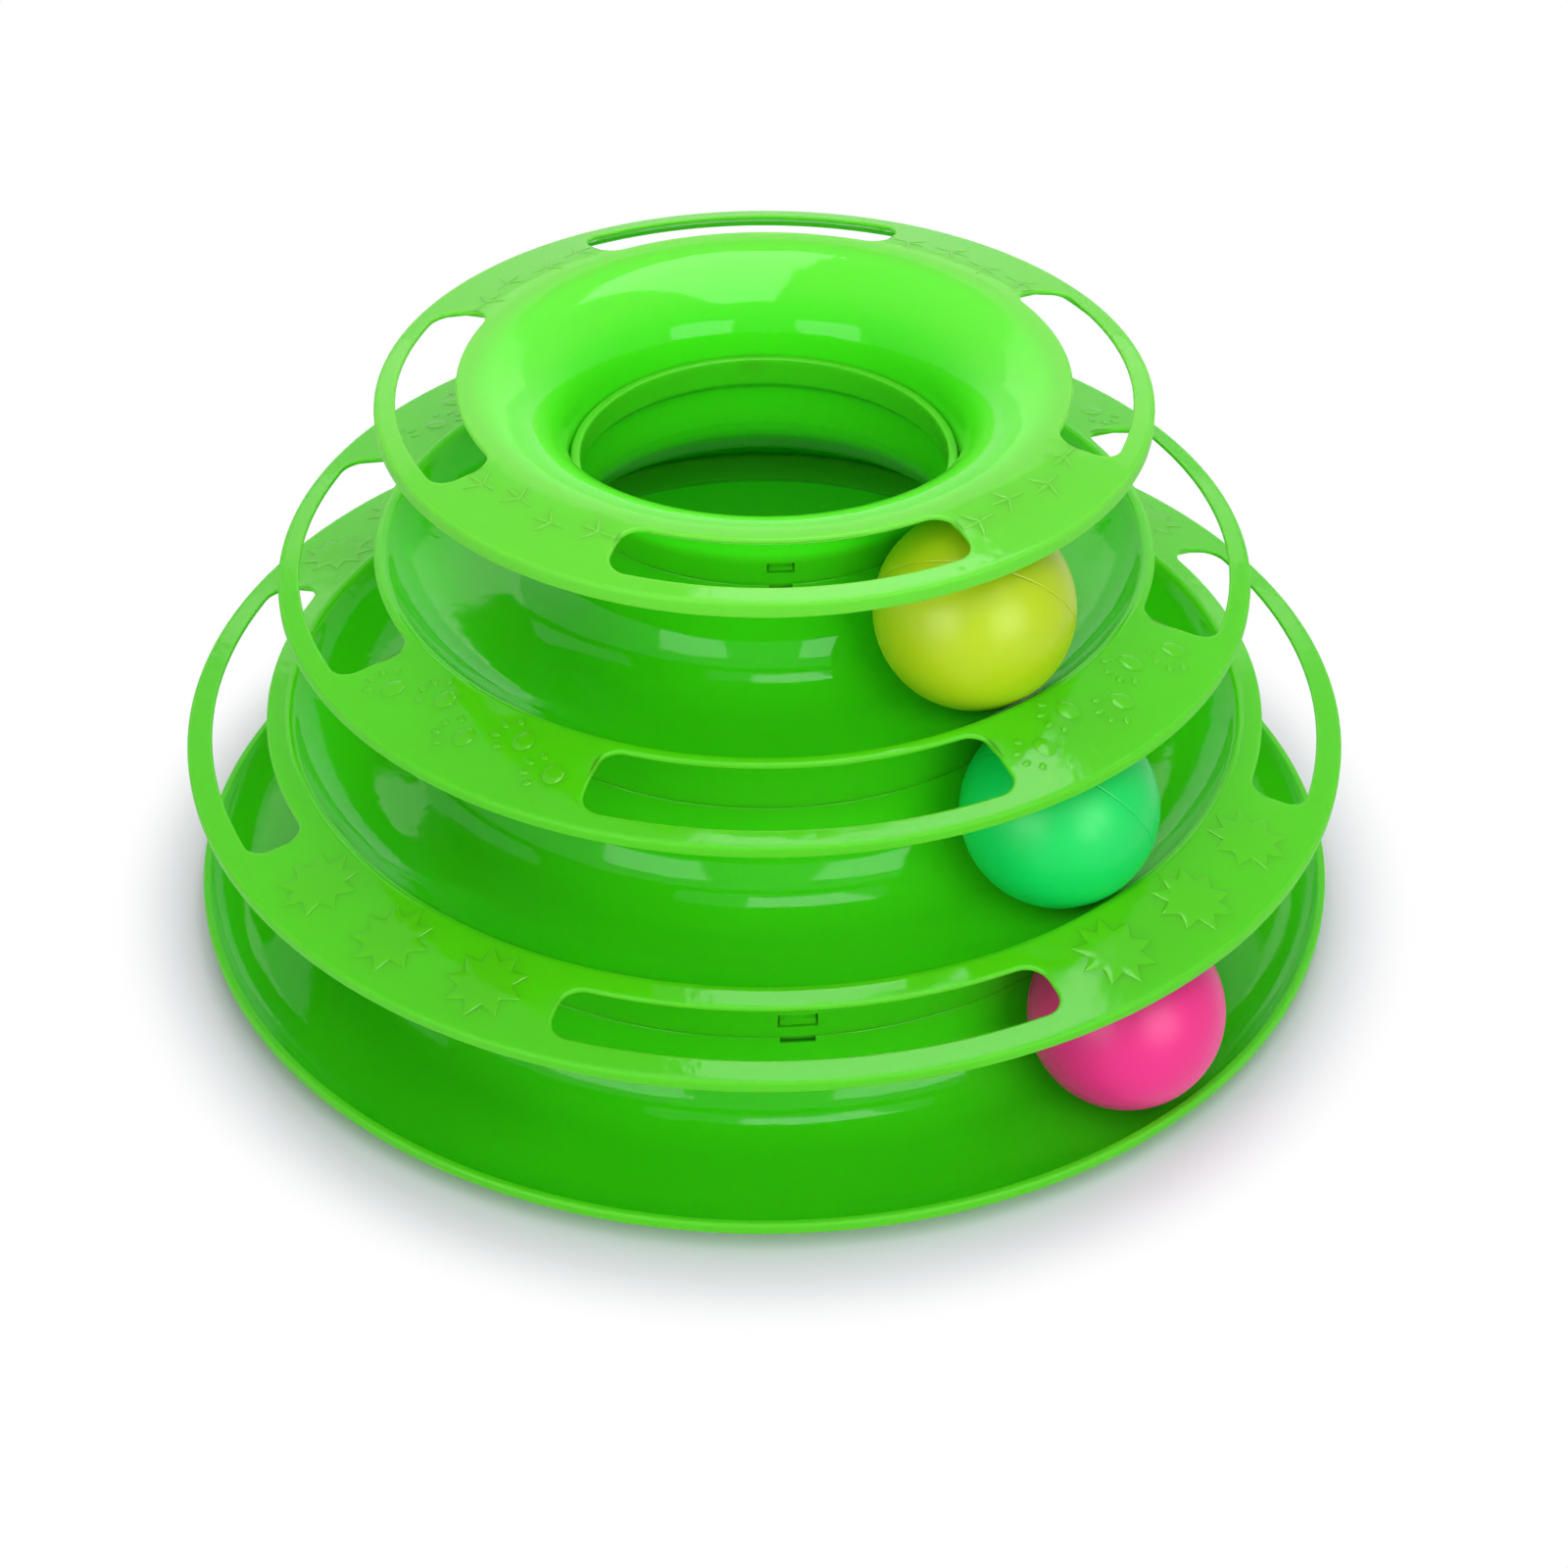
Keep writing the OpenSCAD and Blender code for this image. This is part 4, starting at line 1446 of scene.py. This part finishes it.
class SurfaceEffects:
    """The shader groups that several materials share, each built once."""

    # How much finer the second noise of the waves is
    FINER = 5.0
    # Turn and stretch of each set of rub marks, their width, and where they show
    RUB_WAYS = (((0.3, 0.2, 0.5), (9, 160, 90)), ((1.2, -0.4, 2.1), (140, 11, 80)))
    RUB_WIDTH = 0.012
    RUB_PATCH_SCALE = 25.0
    RUB_PATCH = (0.52, 0.66)
    # Levels of noise between which a cloud grows, and distances over which a speck fades
    CLOUD = (0.3, 0.7)
    DOT = (0.012, 0.022)

    def __init__(self) -> None:
        """Builds the groups."""
        self.waves = self._waves()
        self.scratches = self._scratches()
        self.flow = self._flow()
        self.specks = self._specks()

    def _waves(self) -> bpy.types.NodeTree:
        """Slow waves of a moulded sheet that cooled unevenly: two noises, a wide one and a finer one."""
        tree, sheet, given = new_group(
            "moulded_waves",
            {"Coordinates": ("Vector", 0), "Width": ("Float", 40.0), "Ripple": ("Float", 0.3)},
            {"Height": "Float"},
        )
        wide = sheet.noise(given.outputs[0], given.outputs[1], 1.0)
        finer = sheet.math("MULTIPLY", given.outputs[1], self.FINER)
        fine = sheet.noise(given.outputs[0], finer)
        height = sheet.math("MULTIPLY_ADD", fine, given.outputs[2], wide)
        sheet.add("NodeGroupOutput", {0: height})
        return tree

    def _scratches(self) -> bpy.types.NodeTree:
        """Hair-fine rub marks: thin level lines of two noises that are drawn out along different ways."""
        tree, sheet, given = new_group(
            "rub_marks",
            {"Coordinates": ("Vector", 0), "Amount": ("Float", 0.5)},
            {"Mask": "Float"},
        )
        masks = []
        for turn, scale in self.RUB_WAYS:
            drawn = sheet.stretched(given.outputs[0], turn, scale)
            level = sheet.math("ABSOLUTE", sheet.math("SUBTRACT", sheet.noise(drawn, 1.0), 0.5))
            masks.append(sheet.map_range(level, 0.0, self.RUB_WIDTH, 1.0, 0.0))
        patch = sheet.map_range(sheet.noise(given.outputs[0], self.RUB_PATCH_SCALE), *self.RUB_PATCH)
        both = sheet.math("MAXIMUM", masks[0], masks[1])
        shown = sheet.math("MULTIPLY", both, patch)
        sheet.add("NodeGroupOutput", {0: sheet.math("MULTIPLY", shown, given.outputs[1])})
        return tree

    def _flow(self) -> bpy.types.NodeTree:
        """Faint clouds of slightly thicker and thinner sheet: a mask from 0 to 1."""
        tree, sheet, given = new_group(
            "melt_flow",
            {"Coordinates": ("Vector", 0), "Size": ("Float", 14.0)},
            {"Mask": "Float"},
        )
        cloud = sheet.noise(given.outputs[0], given.outputs[1], 3.0)
        sheet.add("NodeGroupOutput", {0: sheet.map_range(cloud, *self.CLOUD)})
        return tree

    def _specks(self) -> bpy.types.NodeTree:
        """A few dark specks of lint and grit: the middles of widely spaced cells, most of them left out."""
        tree, sheet, given = new_group(
            "stray_specks",
            {"Coordinates": ("Vector", 0), "Spacing": ("Float", 70.0), "Amount": ("Float", 0.1)},
            {"Mask": "Float"},
        )
        cells = sheet.add("TexVoronoi", {"Vector": given.outputs[0], "Scale": given.outputs[1]})
        dot = sheet.map_range(cells.outputs["Distance"], *self.DOT, 1.0, 0.0)
        draw = sheet.add("SeparateColor", {0: cells.outputs["Color"]}).outputs[0]
        chosen = sheet.math("LESS_THAN", draw, given.outputs[2])
        sheet.add("NodeGroupOutput", {0: sheet.math("MULTIPLY", dot, chosen)})
        return tree


def linear(red: float, green: float, blue: float) -> tuple[float, float, float, float]:
    """Turns a screen colour from 0 to 255 into the linear colour that a shader takes."""
    share = np.array([red, green, blue]) / 255
    value = np.where(share <= 0.04045, share / 12.92, ((share + 0.055) / 1.055) ** 2.4)
    return (*(float(v) for v in value), 1.0)


def started_material(name: str) -> tuple[bpy.types.Material, Optional[NodeSheet]]:
    """Finds a material, or starts it.

    Args:
        name: Name of the material.

    Returns:
        The material, and its empty sheet if it is new.
    """
    found = bpy.data.materials.get(name)
    if found is not None:
        return found, None
    made = bpy.data.materials.new(name)
    made.use_nodes = True
    return made, NodeSheet(made.node_tree)


@dataclass(frozen=True)
class MouldedPlastic:
    """A glossy moulded plastic, with light under its skin, and painted light and painted shade where a piece
    has them.
    """

    name: str
    effects: SurfaceEffects
    thick: tuple[float, float, float]
    thin: tuple[float, float, float]
    # Colour of the painted glow of light at the free edges
    edge: tuple[float, float, float]
    # Colour of the painted light on the brims and on the funnel
    sheet: tuple[float, float, float]
    # Colour of the painted light on the side that faces the hole
    bore: tuple[float, float, float]
    # Colour of the painted light on the top ring's upper sheet
    crown_painted_light: tuple[float, float, float]
    # Colour and strength of the painted shade in the notches and in the gaps round the latch pads
    recess: tuple[float, float, float] = (18, 74, 8)
    recess_shade_share: float = 0.85
    speck: tuple[float, float, float] = (24, 40, 18)
    roughness: float = 0.06
    rubbed: float = 0.25
    clouded: float = 0.03
    soft_edge: float = 0.4
    ior: float = 1.5
    specular: float = 0.19
    glow: float = 0.8
    glow_depth: float = 5.0
    glow_radius: tuple[float, float, float] = (0.6, 1.0, 0.35)
    wave_width: float = 45.0
    wave_depth: float = 0.16
    ripple: float = 0.35
    rub: float = 0.5
    rub_strength: float = 0.15
    rub_depth: float = 0.02
    specks: float = 0.08

    def material(self) -> bpy.types.Material:
        """Builds the material once, and returns it again when asked again.

        Returns:
            The material.
        """
        made, sheet = started_material(self.name)
        if sheet is None:
            return made
        place = sheet.add("TexCoord").outputs["Object"]
        flow = sheet.group(self.effects.flow, place)
        waves = sheet.group(self.effects.waves, place, Width=self.wave_width, Ripple=self.ripple)
        rubs = sheet.group(self.effects.scratches, place, Amount=self.rub)
        specks = sheet.group(self.effects.specks, place, Amount=self.specks)
        colour = sheet.mix(flow, linear(*self.thick), linear(*self.thin))
        # Painted light on the brims and on the funnel
        colour = sheet.mix(sheet.share_of("open_sheet"), colour, linear(*self.sheet))
        # Painted light on the side that faces the hole
        colour = sheet.mix(sheet.share_of("painted_bore_light"), colour, linear(*self.bore))
        # Painted light on the top ring's upper sheet
        crown_painted_light = sheet.share_of("crown_painted_light")
        colour = sheet.mix(crown_painted_light, colour, linear(*self.crown_painted_light))
        # Painted glow of light at the free edges, paler on the top ring's upper sheet
        edge_light_share = sheet.share_of("edge_glow")
        edge = sheet.mix(crown_painted_light, linear(*self.edge), linear(*self.crown_painted_light))
        colour = sheet.mix(edge_light_share, colour, edge)
        # Painted shade in the notches and in the gaps round the latch pads
        recess = sheet.math("MULTIPLY", sheet.share_of("recess"), self.recess_shade_share)
        colour = sheet.mix(recess, colour, linear(*self.recess))
        colour = sheet.mix(specks, colour, linear(*self.speck))
        rough = sheet.math("MULTIPLY_ADD", rubs, self.rubbed, self.roughness)
        rough = sheet.math("MULTIPLY_ADD", flow, self.clouded, rough)
        rough = sheet.math("MULTIPLY_ADD", edge_light_share, self.soft_edge, rough)
        wavy = sheet.add("Bump", {"Strength": 1.0, "Distance": self.wave_depth * MM, "Height": waves})
        rubbed = sheet.add("Bump", {
            "Strength": self.rub_strength, "Distance": self.rub_depth * MM,
            "Height": rubs, "Normal": wavy.outputs[0],
        })
        shader = sheet.add("BsdfPrincipled", {
            "Base Color": colour, "Roughness": rough, "Normal": rubbed.outputs[0],
            "IOR": self.ior, "Specular IOR Level": self.specular,
            "Subsurface Weight": self.glow, "Subsurface Radius": self.glow_radius,
            "Subsurface Scale": self.glow_depth * MM,
        })
        sheet.add("OutputMaterial", {"Surface": shader.outputs[0]})
        return made


@dataclass(frozen=True)
class FrostedRubber:
    """Clear rubber with a frosted skin and a little dust from the floor."""

    name: str
    effects: SurfaceEffects
    clean: tuple[float, float, float] = (214, 216, 210)
    dusty: tuple[float, float, float] = (192, 196, 188)
    roughness: tuple[float, float] = (0.42, 0.6)
    cloud_size: float = 220.0
    grain_size: float = 1800.0
    grain_strength: float = 0.35
    grain_depth: float = 0.05
    specular: float = 0.4
    glow: float = 0.3
    glow_depth: float = 0.8

    def material(self) -> bpy.types.Material:
        """Builds the material once, and returns it again when asked again.

        Returns:
            The material.
        """
        made, sheet = started_material(self.name)
        if sheet is None:
            return made
        place = sheet.add("TexCoord").outputs["Object"]
        flow = sheet.group(self.effects.flow, place, Size=self.cloud_size)
        colour = sheet.mix(flow, linear(*self.clean), linear(*self.dusty))
        rough = sheet.map_range(flow, 0.0, 1.0, *self.roughness)
        grain = sheet.noise(place, self.grain_size, 3.0)
        bump = sheet.add("Bump", {
            "Strength": self.grain_strength, "Distance": self.grain_depth * MM, "Height": grain,
        })
        shader = sheet.add("BsdfPrincipled", {
            "Base Color": colour, "Roughness": rough, "Normal": bump.outputs[0],
            "Specular IOR Level": self.specular,
            "Subsurface Weight": self.glow, "Subsurface Scale": self.glow_depth * MM,
        })
        sheet.add("OutputMaterial", {"Surface": shader.outputs[0]})
        return made


@dataclass(frozen=True)
class SoftBox:
    """A rectangular studio lamp that faces a point of the toy."""

    name: str
    azimuth: float
    elevation: float
    distance: float
    width: float
    height: float
    radiance: float
    shine: float
    tint: tuple[float, float, float] = (1.0, 1.0, 1.0)
    aim: tuple[float, float, float] = (0.0, 0.0, 60.0)
    STEP = 0.02

    def build(self) -> None:
        """Places the box: one lamp for its soft light, and one just before it that only gloss shows."""
        self._lamp(f"{self.name}_light", self.radiance, self.distance + self.STEP).visible_glossy = False
        if self.shine > 0:
            self._lamp(f"{self.name}_shine", self.shine, self.distance).visible_diffuse = False

    def _lamp(self, name: str, radiance: float, distance: float) -> bpy.types.Object:
        """Places one lamp: azimuth 0 is in front of the toy, and positive ones are to its right.

        Args:
            name: Name of the lamp.
            radiance: Brightness of its face, where 1 is white.
            distance: Distance from the point that it faces, in metres.

        Returns:
            The lamp's object.
        """
        lamp = bpy.data.lights.new(name, "AREA")
        lamp.shape = "RECTANGLE"
        lamp.size, lamp.size_y = self.width, self.height
        lamp.color = self.tint
        lamp.energy = radiance * math.pi * self.width * self.height
        a, e = math.radians(self.azimuth), math.radians(self.elevation)
        back = np.array([math.sin(a) * math.cos(e), -math.cos(a) * math.cos(e), math.sin(e)])
        made = bpy.data.objects.new(name, lamp)
        made.location = np.array(self.aim) * MM + back * distance
        made.rotation_euler = (math.pi / 2 - e, 0.0, a)
        bpy.context.scene.collection.objects.link(made)
        return made


@dataclass
class Studio:
    """The photographer's table: pale floor, soft lamps, white background and the camera."""

    boxes: tuple[SoftBox, ...] = (
        SoftBox(
            "overhead_box", azimuth=0.0, elevation=90.0, distance=1.0, width=0.5, height=1.4,
            radiance=1.2, shine=5.8, aim=(165.0, 0.0, 100.0),
        ),
        SoftBox(
            "key_box", azimuth=6.0, elevation=56.0, distance=1.2, width=1.2, height=0.9,
            radiance=1.6, shine=0.0,
        ),
        SoftBox(
            "left_box", azimuth=-37.0, elevation=16.0, distance=1.3, width=0.8, height=0.7,
            radiance=2.5, shine=4.4,
        ),
        SoftBox(
            "right_box", azimuth=36.0, elevation=16.0, distance=1.3, width=0.8, height=0.7,
            radiance=3.3, shine=4.9,
        ),
        SoftBox(
            "back_wall", azimuth=180.0, elevation=0.0, distance=2.5, width=2.4, height=1.1,
            radiance=2.4, shine=1.0, tint=(1.0, 1.0, 0.8), aim=(0.0, 0.0, 1500.0),
        ),
        SoftBox(
            "back_box", azimuth=-176.0, elevation=50.0, distance=0.9, width=0.8, height=0.5,
            radiance=2.2, shine=0.0, aim=(0.0, 40.0, 110.0),
        ),
    )
    ambient: float = 0.24
    floor_reach: float = 6.0
    floor_tone: float = 0.76
    floor_tint: tuple[float, float, float] = (1.03, 0.99, 1.12)
    floor_cloud: float = 1.02
    floor_fade: tuple[float, float] = (0.124, 0.147)
    camera_elevation: float = 36.945
    camera_distance: float = 708.28
    camera_aim_z: float = 20.73
    lens: float = 73.07
    sensor: float = 36.0
    shift: float = 0.01256

    def light(self) -> None:
        """Sets the lamps and the world, which is white to the camera, to gloss and to clear pieces."""
        for box in self.boxes:
            box.build()
        world = bpy.data.worlds.new("studio_world")
        world.use_nodes = True
        bpy.context.scene.world = world
        sheet = NodeSheet(world.node_tree)
        strength = sheet.map_range(sheet.seen(), 0.0, 1.0, self.ambient, 1.0)
        background = sheet.add("Background", {"Color": WHITE, "Strength": strength})
        sheet.add("OutputWorld", {"Surface": background.outputs[0]})

    def floor(self) -> bpy.types.Object:
        """Lays the pale floor, which keeps the toy's shadow and fades to white for the camera.

        Returns:
            The floor's object.
        """
        corners = np.array([[-1, -1, 0], [1, -1, 0], [1, 1, 0], [-1, 1, 0]]) * self.floor_reach
        data = bpy.data.meshes.new("studio_floor")
        data.from_pydata(corners.tolist(), [], [[0, 1, 2, 3]])
        ground = bpy.data.objects.new("studio_floor", data)
        bpy.context.scene.collection.objects.link(ground)
        made, sheet = started_material("studio_paper")
        place = sheet.add("TexCoord").outputs["Object"]
        cloud = sheet.map_range(sheet.noise(place, 3.0), 0.3, 0.7)
        low = [self.floor_tone * tint for tint in self.floor_tint]
        high = [min(1.0, value * self.floor_cloud) for value in low]
        paper = sheet.add("BsdfDiffuse", {"Color": sheet.mix(cloud, (*low, 1.0), (*high, 1.0))})
        white = sheet.add("Emission", {"Color": WHITE, "Strength": 1.0})
        seen = sheet.seen()
        away = sheet.add("VectorMath", {0: place}, operation="LENGTH").outputs["Value"]
        share = sheet.math("MULTIPLY", seen, sheet.map_range(away, *self.floor_fade))
        both = sheet.add("MixShader", {0: share, 1: paper.outputs[0], 2: white.outputs[0]})
        sheet.add("OutputMaterial", {"Surface": both.outputs[0]})
        data.materials.append(made)
        return ground

    def camera(self) -> bpy.types.Object:
        """Stands the camera where the photograph's was: in front, above, looking down at the axis.

        Returns:
            The camera's object.
        """
        e = math.radians(self.camera_elevation)
        data = bpy.data.cameras.new("studio_camera")
        data.lens, data.sensor_width = self.lens, self.sensor
        data.shift_x = self.shift
        made = bpy.data.objects.new("studio_camera", data)
        back, up = self.camera_distance * math.cos(e), self.camera_distance * math.sin(e)
        made.location = np.array([0.0, -back, self.camera_aim_z + up]) * MM
        made.rotation_euler = (math.pi / 2 - e, 0.0, 0.0)
        bpy.context.scene.collection.objects.link(made)
        bpy.context.scene.camera = made
        bpy.context.scene.view_settings.view_transform = "Standard"
        return made


def report(piece: bpy.types.Object) -> None:
    """Logs a finished piece."""
    LOG.info("%s: %d points, %d faces", piece.name, len(piece.data.vertices), len(piece.data.polygons))


def main() -> None:
    """Builds the toy and its studio, and reports each piece."""
    logging.basicConfig(level=logging.INFO, format="%(name)s %(message)s")
    effects = SurfaceEffects()
    # Besides its own greens, the green plastic has colours of painted light at its edges, on its upper
    # sheets, round the hole and on the top ring
    green = MouldedPlastic(
        "green_moulded_plastic", effects, thick=(60, 202, 14), thin=(68, 208, 20), edge=(86, 198, 30),
        sheet=(84, 203, 16), bore=(78, 238, 30), crown_painted_light=(136, 228, 82),
    )
    marks = replace(green, name="green_raised_marks", glow=0.0)
    balls = (
        ("pink", Tier.BASE, -47.5, (35.0, 20.0), (226, 36, 126), (232, 46, 134)),
        ("green", Tier.LOWER, -46.5, (62.0, 150.0), (8, 208, 90), (14, 216, 98)),
        ("yellow", Tier.UPPER, -49.0, (59.0, 166.0), (178, 206, 18), (186, 212, 28)),
    )
    for tier, name in zip(Tier, ("base_track", "lower_track", "upper_track", "top_ring")):
        report(RingMoulding(tier).build(name, green))
    reliefs = (
        ("lower_track_raised_stars", Tier.LOWER, Motif.STARS),
        ("upper_track_raised_paw_prints", Tier.UPPER, Motif.PAW_PRINTS),
        ("top_ring_raised_bird_tracks", Tier.TOP, Motif.BIRD_TRACKS),
    )
    for name, tier, motif in reliefs:
        report(BrimRelief(RingMoulding(tier), motif).build(name, marks))
    for colour, tier, place, seam, thick, thin in balls:
        finish = MouldedPlastic(
            f"{colour}_ball_moulded_plastic", effects, thick, thin,
            edge=thin, sheet=thin, bore=thin, crown_painted_light=thin,
            roughness=0.34, specular=0.28, glow=0.3, glow_depth=3.0, wave_depth=0.05, rub=0.6, specks=0.03,
        )
        for piece in PlayBall(colour, tier, place, seam, finish).build():
            report(piece)
    for piece in RubberFeet(FrostedRubber("frosted_clear_rubber", effects)).build():
        report(piece)
    studio = Studio()
    studio.floor()
    studio.light()
    studio.camera()


if __name__ == "__main__":
    main()
